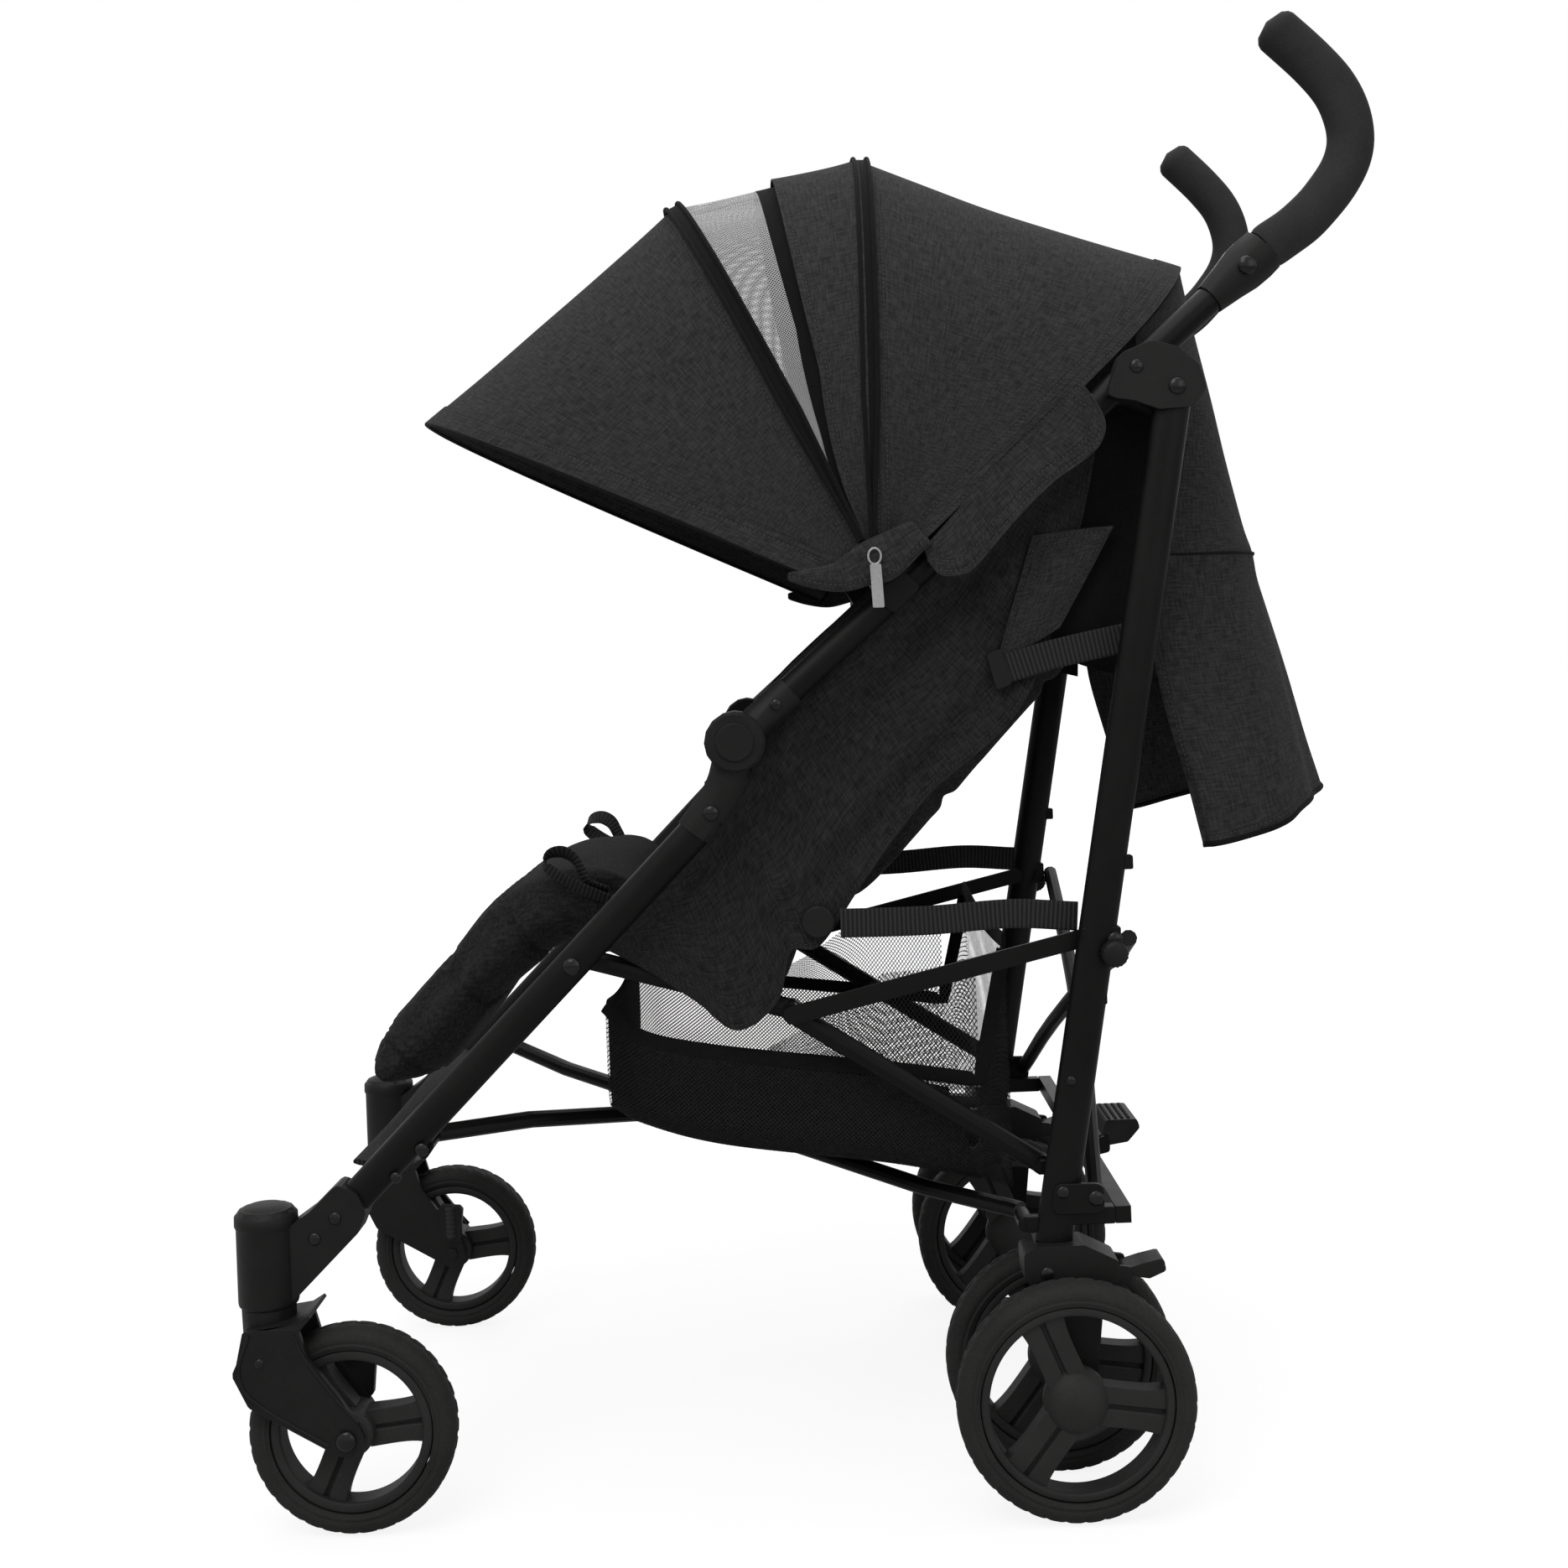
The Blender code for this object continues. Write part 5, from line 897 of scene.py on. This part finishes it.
def curtainGrid(rows=70, columns=161):
    # top row on the hood's rear edge, then a U in plan at each level: x = half sgn(cos)|cos|^2/3, y = front + depth sin^2/3
    q = ramp(801)
    span = archStart + (math.pi - 2 * archStart) * (4 + 10 * q) / 18
    top = archAt(hood["backBase"], hood["backAngle"], layerRear + curtain["inset"], hood["backHeight"] + curtain["inset"],
                 hood["backTurn"], span) + np.array([0, 0.0006, -0.0006])
    heights, backs = np.array(curtain["levels"]).T
    lines = [evenLine(top, columns)]
    t = math.pi * q
    for z, back, front in zip(heights, backs, curtain["fronts"]):
        share = (heights[0] - z) / (heights[0] - heights[-1])
        half = curtain["halfTop"] * (1 - share) + curtain["halfHem"] * share
        x = half * np.sign(np.cos(t)) * np.abs(np.cos(t)) ** (2 / 3)
        y = front + (back - front) * np.clip(np.sin(t), 0, 1) ** (2 / 3) + curtain["fold"] * share * np.sin(6 * t)
        lines.append(evenLine(np.stack([x, y + shiftY, z + curtain["hemRise"] * share ** 3 * np.sin(t)], 1), columns))
    flat = smoothLine(np.stack(lines).reshape(len(lines), -1), 16)
    grid = evenLine(flat, rows).reshape(rows, columns, 3)
    v, u = ramp(rows, 1), ramp(columns)[None]
    outward = np.cross(np.gradient(grid, axis=0), np.gradient(grid, axis=1))
    outward = unit(outward * np.sign(outward[..., 1:2]))
    drape = (0.0022 * v * np.sin(u * 31 + 2 * v) + 0.0012 * np.sin(u * 63 + 6 * v) * v ** 2
             + 0.0016 * np.exp(-((v - curtain["seam"]) / 0.03) ** 2)
             + 0.0018 * np.sin(v * 16 + 3 * u) * np.exp(-((u - 0.06) / 0.07) ** 2)
             + 0.0018 * np.sin(v * 15 - 2 * u) * np.exp(-((u - 0.94) / 0.07) ** 2))
    return grid + outward * (drape * np.clip(v / 0.1, 0, 1) ** 2)[..., None]


rearGrid = curtainGrid()
rearCurtain = dress("rearCurtainCloth", clothPart(rearGrid, curtain["thick"]), "cloth", "charcoal_fabric", "frame",
                    ("rear_curtain",))
seamRow = rearGrid[int(curtain["seam"] * len(rearGrid))] + np.array([0, 0.0016, 0])
trim = [sweepPart(seamRow, ring(8) * 0.0012, across=(0.01, 0, 1)),
        sweepPart(rearGrid[-1], ring(10) * 0.0024, across=(0.01, 0, 1))]
curtainTrim = dress("rearCurtainTrim", trim, "binding", "charcoal_fabric", "frame")
print("curtain made")


# seat and cushions

cushions = {"voxel": 0.0055, "pressure": 4.0, "frames": 20, "backrestCap": 0.01, "legrestCap": 0.008, "seatCap": 0.008}
padSection = (0.45, 0.75)   # how square a pad's section is across and up


def readVertices(mesh, key="co"):
    values = np.empty(len(mesh.vertices) * 3, np.float32)
    mesh.vertices.foreach_get(key, values)
    return values.reshape(-1, 3)


def applied(item):
    # what the item's modifiers make of its mesh takes the mesh's place
    bpy.context.view_layer.update()
    mesh = bpy.data.meshes.new_from_object(item.evaluated_get(bpy.context.evaluated_depsgraph_get()))
    item.modifiers.clear()
    item.data = mesh
    return mesh


def puffed(item, cap, rule):
    # remesh, blow up with cloth pressure, hold each point's travel under the cap, and smooth once;
    # then each vertex moves along its normal by rule(points, normals)
    scene = bpy.context.scene
    remesh = item.modifiers.new("voxels", "REMESH")
    remesh.mode, remesh.voxel_size = "VOXEL", cushions["voxel"]
    mesh = applied(item)
    start = readVertices(mesh)
    air = item.modifiers.new("air", "CLOTH")
    air.settings.use_pressure, air.settings.uniform_pressure_force = True, cushions["pressure"]
    air.settings.effector_weights.gravity = 0
    air.settings.quality, air.settings.mass = 4, 0.3
    air.point_cache.frame_start, air.point_cache.frame_end = 1, cushions["frames"]
    for step in range(1, cushions["frames"] + 1):
        scene.frame_set(step)
    move = readVertices(item.evaluated_get(bpy.context.evaluated_depsgraph_get()).to_mesh()) - start
    item.modifiers.clear()
    scene.frame_set(1)
    move = move * np.minimum(1, cap / np.maximum(np.linalg.norm(move, axis=1, keepdims=True), 1e-9))
    mesh.vertices.foreach_set("co", (start + move).astype(np.float32).ravel())
    finer = item.modifiers.new("finer", "SUBSURF")
    finer.levels = finer.render_levels = 1
    mesh = applied(item)
    mesh.shade_smooth()
    points, normals = readVertices(mesh).astype(float), readVertices(mesh, "normal").astype(float)
    mesh.vertices.foreach_set("co", (points + normals * rule(points, normals)[:, None]).astype(np.float32).ravel())
    mesh.update()


def ridgesAt(at, places, width):
    # a bell of height 1 at each of the places
    return sum(np.exp(-((at - place) / width) ** 2) for place in places)


backrest = {"pivot": np.array([0.014, 0.415]), "angle": 46.5, "length": 0.355, "half": 0.16, "thick": 0.021,
            "seams": (0.36, 0.68), "margin": 0.004}
boardDir = np.array([math.cos(math.radians(backrest["angle"])), math.sin(math.radians(backrest["angle"]))])
boardUp = np.array([-boardDir[1], boardDir[0]])


def backrestRelief(points, normals):
    # two seams across with puckers beside them, and a groove along each side wing
    local = points[:, 1:] - standUp(backrest["pivot"], 0.0)[1:]
    t, up = (local @ boardDir) / backrest["length"], local @ boardUp
    wing = ridgesAt(np.abs(points[:, 0]), (0.098,), 0.006) * np.clip((t - 0.08) / 0.1, 0, 1) * (up > 0)
    pucker = np.sin(points[:, 0] * 260) * ridgesAt(t, backrest["seams"], 0.05)
    return -0.0042 * ridgesAt(t, backrest["seams"], 0.016) - 0.0026 * wing + 0.0007 * pucker


# superellipse sections along the board, its ends drawn in
t = ramp(33)
drawnIn = 1 - np.abs(2 * t - 1) ** 8
boardRun = backrest["margin"] + (backrest["length"] - 2 * backrest["margin"]) * t[:, None]
boardLine = backrest["pivot"] + boardDir * boardRun
boardSize = np.stack([backrest["half"] * (0.93 + 0.07 * drawnIn), backrest["thick"] / 2 * (0.35 + 0.65 * drawnIn)], 1)
board = dress("backrestCushion", [sweepPart(standUp(boardLine, 0.0), ring(40, padSection), scale=boardSize)], "clothPlain",
              "charcoal_fabric", "backrest", ("backrest",), angle=60)
puffed(board, cushions["backrestCap"], backrestRelief)
heel = dress("backrestHeel", [pinPart(backrest["pivot"], 0.0143, -0.16, 0.16, 48)], "clothPlain", "charcoal_fabric",
             "backrest", bevel=0.004, segments=3)

legrest = {"spine": ((-0.141, 0.421), (-0.166, 0.4285), (-0.195, 0.419), (-0.222, 0.3985), (-0.247, 0.373),
                     (-0.272, 0.3435), (-0.297, 0.317), (-0.315, 0.2985)),
           "loop": ((-0.134, 0.43), (-0.15, 0.437), (-0.164, 0.444), (-0.177, 0.452), (-0.1855, 0.46),
                    (-0.182, 0.4672), (-0.1728, 0.469), (-0.164, 0.464), (-0.1585, 0.454), (-0.153, 0.444),
                    (-0.14, 0.438)),
           "half": (0.034, 0.0285, 0.0265, 0.0275, 0.0235, 0.0265, 0.0265, 0.019), "width": 0.151,
           "channels": (0.36, 0.59, 0.86)}
spine = smoothLine(legrest["spine"], 6)
spineHalf = np.interp(np.linspace(0, 7, len(spine)), range(8), legrest["half"])


def legrestRelief(points, normals):
    # channels square to the spine, each with puckers beside it
    side = points[:, 1:] - np.array([shiftY, 0])
    at = np.argmin(np.linalg.norm(side[:, None] - spine[None], axis=2), axis=1) / (len(spine) - 1)
    pucker = np.sin(points[:, 0] * 230) * ridgesAt(at, legrest["channels"], 0.05)
    return -0.0045 * ridgesAt(at, legrest["channels"], 0.02) + 0.0008 * pucker


calfSize = np.stack([0 * spineHalf + legrest["width"], spineHalf - 0.0055], 1)
calf = dress("legrestCushion", [sweepPart(standUp(spine, 0.0), ring(44, padSection), scale=calfSize),
                                pinPart(legrest["spine"][0], 0.029, -0.146, 0.146, 48)], "clothPlain", "charcoal_fabric",
             "legrest", ("legrest",), angle=60)
puffed(calf, cushions["legrestCap"], legrestRelief)

# seat pad: between its flat top and the line of the seat's floor, which falls towards the back
seat = {"front": -0.1035, "rear": -0.004, "top": 0.425, "floorAt": (-0.161, 0.4025),
        "fall": (0.35 - 0.394) / (0.161 - 0.007), "half": 0.172}
seatY = np.linspace(seat["front"], seat["rear"], 15)
seatFloor = seat["floorAt"][1] + (seatY - seat["floorAt"][0]) * seat["fall"]
seatLine = np.stack([seatY, (seat["top"] + seatFloor) / 2], 1)
seatSize = np.stack([0 * seatY + seat["half"], (seat["top"] - seatFloor) / 2 - 0.003], 1)
cushion = dress("seatCushion", [sweepPart(standUp(seatLine, 0.0), ring(44, padSection), scale=seatSize)], "clothPlain",
                "charcoal_fabric", "frame", ("seat",), angle=60)
puffed(cushion, cushions["seatCap"], lambda points, normals: (normals[:, 2] > 0.2) * (
    0.0006 * np.sin(points[:, 0] * 210) - 0.003 * ridgesAt(np.abs(points[:, 0]), (0.105,), 0.008)))
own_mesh(cushion)

# cloth sides of the seat, drawn between their upper and lower edges
seatCloth = {"sideX": 0.1805, "sideThick": 0.0022, "wingX": 0.1745, "pocketX": 0.1845, "liningThick": 0.0018}
sideUpper = smoothLine([(-0.142, 0.404), (-0.105, 0.459), (-0.057, 0.508), (-0.018, 0.58), (0.06, 0.651), (0.132, 0.715),
                        (0.206, 0.778)], 14)
sideLower = smoothLine([(-0.142, 0.402), (-0.106, 0.381), (-0.076, 0.36), (-0.047, 0.338), (-0.017, 0.358), (-0.006, 0.394),
                        (0.016, 0.398), (0.054, 0.45), (0.098, 0.503), (0.154, 0.549), (0.182, 0.592), (0.205, 0.66),
                        (0.226, 0.74), (0.222, 0.766)], 10)
wingUpper = smoothLine([(0.186, 0.77), (0.23, 0.785), (0.272, 0.79)], 10)
wingFoot = smoothLine([(0.188, 0.602), (0.225, 0.588), (0.262, 0.578)], 10)
pocketUpper = smoothLine([(0.179, 0.687), (0.208, 0.69), (0.238, 0.692)], 8)
pocketLower = smoothLine([(0.15, 0.597), (0.172, 0.607), (0.196, 0.62)], 8)
for side, tag in sides:
    flat, t = loft(sideUpper, sideLower, 49, 141), ramp(49, 1)
    y, z = flat[..., 0], flat[..., 1]
    along, over = 0.67 * y + 0.74 * z, 0.74 * y - 0.67 * z
    folds = (0.0036 * np.sin(96 * over + 5 * along + 0.6) * np.sin(9 * along + 0.8)
             + 0.0022 * np.sin(175 * over - 11 * along + 2.0) + 0.0014 * np.sin(120 * along + 40 * over)
             + 0.003 * np.exp(-((y + 0.02) ** 2 + (z - 0.43) ** 2) / 0.0012)
             - 0.004 * ridgesAt(over, (-0.235,), 0.01))
    # the stays pass close outside the low lobe, so the cloth keeps to its plane there
    free = np.clip(np.minimum(t, 1 - t) / 0.12, 0, 1) * (0.15 + 0.85 * np.clip((z - 0.405) / 0.03, 0, 1))
    panelGrid = standUp(flat, side * (seatCloth["sideX"] + folds * free))
    panel = dress("seatSide" + tag, clothPart(panelGrid, seatCloth["sideThick"], ("u1",)), "clothBand",
                  "charcoal_fabric", "frame", ("seat",))

    # black wing of the seat's back cover, between the cloth side and the rear leg
    t, v = ramp(31, 1), ramp(25)[None]
    billow = 0.0016 * np.sin(9 * t + 3 * v) * np.sin(math.pi * v)
    wingGrid = standUp(loft(wingUpper, wingFoot, 31, 25), side * (seatCloth["wingX"] + billow))
    wing = dress("seatBackWing" + tag, clothPart(wingGrid, seatCloth["liningThick"]), "lining", "charcoal_fabric",
                 "frame")

    # storage pocket behind the side, with a bound mouth
    belly = 0.006 * np.sin(math.pi * t) * np.sin(math.pi * ramp(31))[None]
    pocketGrid = standUp(loft(pocketUpper, pocketLower, 31, 31), side * (seatCloth["pocketX"] + belly))
    pocket = dress("sidePocket" + tag, clothPart(pocketGrid, seatCloth["liningThick"]), "clothDouble",
                   "charcoal_fabric", "frame")
print("seat made")


# straps and harness

def strapPart(points, width, thick, across, count, dip=0.0):
    # flat webbing along a smooth line through 3-D points, hanging by dip half way
    line = evenLine(smoothLine(np.asarray(points, float) + np.array([0, shiftY, 0]), 10), count)
    line[:, 2] -= dip * np.sin(math.pi * ramp(count))
    return sweepPart(line, band(width, thick), across=across)


def onBoard(x, rows):
    # points given as a share of the backrest's length and a height over it
    return [(x, *(backrest["pivot"] + boardDir * share * backrest["length"] + boardUp * height)) for share, height in rows]


recline = {"lower": ((0.1895, 0.03, 0.414), (0.1915, 0.09, 0.4165), (0.1925, 0.15, 0.419), (0.1925, 0.2, 0.413)),
           "upper": ((0.186, 0.153, 0.591), (0.188, 0.19, 0.601), (0.1885, 0.242, 0.611)), "width": 0.021,
           "thick": 0.0018}
harness = {"half": 0.062, "width": 0.024, "thick": 0.002, "padWidth": 0.046, "padThick": 0.0105, "crotchWidth": 0.028}
plate = roundedOutline([(0.1485, 0.5765), (0.16, 0.5805), (0.1535, 0.607), (0.142, 0.603)], 0.003)
loopParts = [strapPart([(0.15, y, z) for y, z in legrest["loop"]], 0.017, 0.0015, (0.8, 0.2, 0.55), 57)]
padEnds = np.interp(ramp(37), [0, 0.06, 0.94, 1], [0.7, 1, 1, 0.7])
for side, tag in sides:
    webbing = strapPart(recline["lower"], recline["width"], recline["thick"], (0, -0.04, 1), 61, 0.003)
    lowerStrap = dress("lowerStrap" + tag, [webbing], "webbing", "charcoal_fabric", side=side, angle=60)
    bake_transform(lowerStrap)
    webbing = strapPart(recline["upper"], recline["width"], recline["thick"], (0, -0.27, 1), 31)
    upperStrap = dress("upperStrap" + tag, [webbing], "webbing", "charcoal_fabric", side=side, angle=60)
    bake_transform(upperStrap)
    dress("strapBuckle" + tag, [prismPart(plate, 0.1838, 0.1884)], "plastic", "black_plastic", "frame", side=side, angle=40,
          bevel=0.0007)
    dress("legrestLoop" + tag, loopParts, "webbing", "charcoal_fabric", "legrest", side=side, angle=60)
    path = onBoard(side * harness["half"], ((0.86, 0.01), (0.84, 0.02), (0.66, 0.0195), (0.48, 0.0215), (0.33, 0.0215),
                                  (0.16, 0.024)))
    path += [(side * 0.045, 0.006, 0.452), (side * 0.02, -0.03, 0.4545)]
    webbing = strapPart(path, harness["width"], harness["thick"], (1, 0, 0), 81)
    shoulder = dress("shoulderStrap" + tag, [webbing], "webbing", "charcoal_fabric", angle=60)
    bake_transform(shoulder)
    path = np.array(onBoard(side * harness["half"], ((0.8, 0.0222), (0.66, 0.0225), (0.48, 0.0245), (0.38, 0.0245))))
    path = smoothLine(path + np.array([0, shiftY, 0]), 12)
    pad = sweepPart(path, band(harness["padWidth"], harness["padThick"]), scale=padEnds)
    shoulderPad = dress("shoulderPad" + tag, [pad], "clothPlain", "charcoal_fabric", "backrest", angle=60)
crotch = strapPart(((0, -0.082, 0.44), (0, -0.066, 0.447), (0, -0.045, 0.455)), harness["crotchWidth"], harness["thick"],
                   (1, 0, 0), 21)
dress("crotchStrap", [crotch], "webbing", "charcoal_fabric", "frame", angle=60)
claspOutline = roundedOutline([(-0.052, 0.453), (-0.018, 0.453), (-0.016, 0.459), (-0.022, 0.465), (-0.048, 0.465),
                               (-0.054, 0.459)], 0.004)
dress("harnessClasp", [prismPart(claspOutline, -0.024, 0.024)], "plastic", "black_plastic", "frame", angle=40, bevel=0.002,
      segments=3)
print("straps made")


# basket

# stations from the front end to the rear end: y, height of the floor and of the edge, half width
basket = {"stations": ((-0.146, 0.272, 0.352, 0.14), (-0.12, 0.262, 0.332, 0.158), (-0.0595, 0.2458, 0.319, 0.165),
                       (0.06, 0.228, 0.303, 0.165), (0.128, 0.2135, 0.292, 0.165), (0.152, 0.2095, 0.392, 0.158)),
          "corner": 0.022, "wall": 0.0018, "net": 0.001, "rearEdge": (0.157, 0.15, 0.386, 0.2115),
          "upperFrom": -0.035, "upperX": 0.161, "upperY": (-0.035, 0.01, 0.06, 0.13),
          "upperZ": (0.316, 0.338, 0.372, 0.376)}
stations = smoothLine(basket["stations"][:5], 10)
wallRows, floorRows = [], []
for y, floorZ, top, half in stations:
    # from the top of one side, down and round the corner to the middle of the floor: a quarter circle between two straights
    r, a, half, floorZ = basket["corner"], np.linspace(0, math.pi / 2, 9), half - 0.001, floorZ + 0.001
    bend = np.stack([half - r + r * np.cos(a), floorZ + r - r * np.sin(a)], 1)
    section = np.concatenate([[[half, top]], bend, [[0, floorZ]]])
    wallRows.append(np.insert(evenLine(section[:10], 25), 1, y + shiftY, axis=1))
    floorRows.append(np.insert(evenLine(section[9:], 15), 1, y + shiftY, axis=1))
wallRows, floorRows = np.stack(wallRows), np.stack(floorRows)
run = ramp(len(stations), 1)
wallRows[..., 0] += 0.0035 * np.sin(math.pi * run) * np.sin(math.pi * ramp(25))[None] * np.sin(9 * run)
fullFloor = np.concatenate([floorRows, (floorRows * np.array([-1, 1, 1]))[:, ::-1][:, 1:]], 1)


def basketEnd(station, inset, dip, belly):
    # flat end wall with round lower corners: lower edge (1-v) + crest v, its crest hanging by dip
    y, floorZ, top, half = station
    r, u, v = basket["corner"], np.linspace(-1, 1, 61)[None], ramp(21, 1)
    into = np.clip((np.abs(u) * half - (half - r)) / r, 0, 1)
    foot = floorZ + 0.001 + r * (1 - np.sqrt(np.clip(1 - into ** 2, 0, 1)))
    crest = top - dip * np.cos(u * math.pi / 2)
    bulge = belly * np.sin(math.pi * v) * np.cos(u * 1.5)
    return np.stack([u * (half - 0.001) + 0 * v, y + inset + shiftY + bulge, foot * (1 - v) + crest * v], -1)


frontEnd = basketEnd(basket["stations"][0], 0.002, 0.01, 0.0)
rearEnd = basketEnd(basket["stations"][-1], -0.002, 0.006, 0.006)
edgeX, edgeY, edgeTop, edgeFoot = basket["rearEdge"]
rearEdge = np.stack([np.full(25, edgeX), np.full(25, edgeY + shiftY), np.linspace(edgeTop, edgeFoot, 25)], 1)
rearPiece = wallRows[-1][None] * (1 - ramp(11, 2)) + rearEdge[None] * ramp(11, 2)
# open net above the bound edge, up to under the recline strap
upLow = evenLine(wallRows[wallRows[:, 0, 1] > shiftY + basket["upperFrom"], 0], 31)
upZ = np.interp(upLow[:, 1] - shiftY, basket["upperY"], basket["upperZ"])
upTop = np.stack([np.full(31, basket["upperX"]), upLow[:, 1], upZ], 1)
upperNet = upLow[None] * (1 - ramp(11, 2)) + upTop[None] * ramp(11, 2)


def bothSides(parts):
    return parts + [dict(part, verts=part["verts"] * np.array([-1, 1, 1])) for part in parts]


sideGrids = (wallRows, upperNet, rearPiece)
walls = bothSides([part for grid in sideGrids for part in clothPart(grid, basket["net"], ())])
walls += clothPart(frontEnd, basket["net"], (), slot=1) + clothPart(rearEnd, basket["net"], ())
basketNet = dress("basketNet", walls, "basketNet lining", "black_mesh", "frame", ("basket",))
floorPad = dress("basketFloor", clothPart(fullFloor, basket["wall"]), "lining", "black_mesh", "frame")
sideEdge = np.concatenate([wallRows[:, 0], rearPiece[1:, 0]])
rims = bothSides([sweepPart(sideEdge, ring(12) * np.array([0.0016, 0.0055])),
                  sweepPart(wallRows[:, -1] + np.array([0, 0, 0.001]), ring(8) * 0.0018)])
rims += [sweepPart(frontEnd[-1], ring(12) * np.array([0.0055, 0.0018]), across=(0, 0, 1)),
         sweepPart(rearEnd[-1], ring(12) * np.array([0.0065, 0.0018]), across=(0, 0, 1))]
basketBinding = dress("basketBinding", rims, "binding", "black_mesh", "frame")
for item in (basketNet, floorPad, basketBinding):
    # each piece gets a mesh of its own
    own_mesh(item)
print("basket made")


# camera, floor and light

view = {"place": (1.563, shiftY, 0.6087), "roll": 2.2, "lens": 43.91, "shift": (-0.0027, -0.083)}
lamps = {"key": ((1.9, -0.9, 2.8), 1.8, 38), "fill": ((2.2, 1.6, 1.5), 1.6, 9), "top": ((0.0, 0.1, 2.9), 2.0, 28),
         "back": ((-2.0, 0.6, 2.0), 1.6, 12)}   # place, size and power
lampAim = Vector((0, 0, 0.5))
scene = bpy.context.scene
camera = bpy.data.objects.new("photoCamera", bpy.data.cameras.new("photoCamera"))
scene.collection.objects.link(camera)
scene.camera = camera
camera.data.sensor_width, camera.data.lens = 36, view["lens"]
camera.data.shift_x, camera.data.shift_y = view["shift"]
roll = math.radians(view["roll"])   # level camera looking along -X, turned a little about its own axis
level = Matrix(((0, math.cos(roll), -math.sin(roll)), (0, math.sin(roll), math.cos(roll)), (1, 0, 0))).transposed().to_4x4()
camera.matrix_world = Matrix.Translation(view["place"]) @ level


def mixShaders(tree, share, first, second, output):
    mix = addNode(tree, "MixShader", {0: share, 1: first, 2: second})
    connect(tree, tree.nodes[output].inputs["Surface"], mix.outputs[0])


looks["floor"], tree, inputs, calc = startMaterial("studioFloor")
grain = useGroup(tree, grainGroup, Vector=onObject(tree), Scale=40.0)
connect(tree, inputs["Base Color"], mixColour(tree, grain["Broad"], grey(0.7), grey(0.74)))
inputs["Roughness"].default_value = 0.95
glow = addNode(tree, "Emission", {"Color": (1, 1, 1, 1), "Strength": 1.18})
away = addNode(tree, "VectorMath", {0: onObject(tree)}, operation="LENGTH").outputs["Value"]
even = ranged(tree, away, 0.6, 2.4, 0.74, 1.0)   # the shadow shows near the object, further off the floor is plain white
seen = addNode(tree, "LightPath").outputs["Is Camera Ray"]
mixShaders(tree, calc("MULTIPLY", seen, even), tree.nodes["Principled BSDF"].outputs[0], glow.outputs[0], "Material Output")
u, v = np.meshgrid(np.linspace(-20, 20, 41), np.linspace(-20, 20, 41), indexing="ij")
floor = makePiece("floor", [gridPart(np.stack([u, v, 0 * u - 0.0005], -1))], "floor")
if floor.data.polygons[0].normal.z < 0:
    floor.data.flip_normals()

scene.world = bpy.data.worlds.new("studio")
scene.world.use_nodes = True
tree = scene.world.node_tree
calc = calculator(tree)
soft = tree.nodes["Background"]
soft.inputs["Color"].default_value, soft.inputs["Strength"].default_value = (1, 1, 1, 1), 0.3
white = addNode(tree, "Background", {"Color": (1, 1, 1, 1), "Strength": 1.0})
rays = addNode(tree, "LightPath").outputs
seen = calc("MAXIMUM", calc("MAXIMUM", rays["Is Camera Ray"], rays["Is Glossy Ray"]), rays["Is Transmission Ray"])
mixShaders(tree, seen, soft.outputs[0], white.outputs[0], "World Output")

for label, (spot, size, power) in lamps.items():
    lamp = bpy.data.objects.new(label, bpy.data.lights.new(label, "AREA"))
    lamp.data.shape, lamp.data.size, lamp.data.energy = "SQUARE", size, power
    lamp.location = spot
    lamp.rotation_euler = (lampAim - Vector(spot)).to_track_quat("-Z", "Y").to_euler()
    scene.collection.objects.link(lamp)
scene.view_settings.view_transform = "Standard"
print("camera and light set")
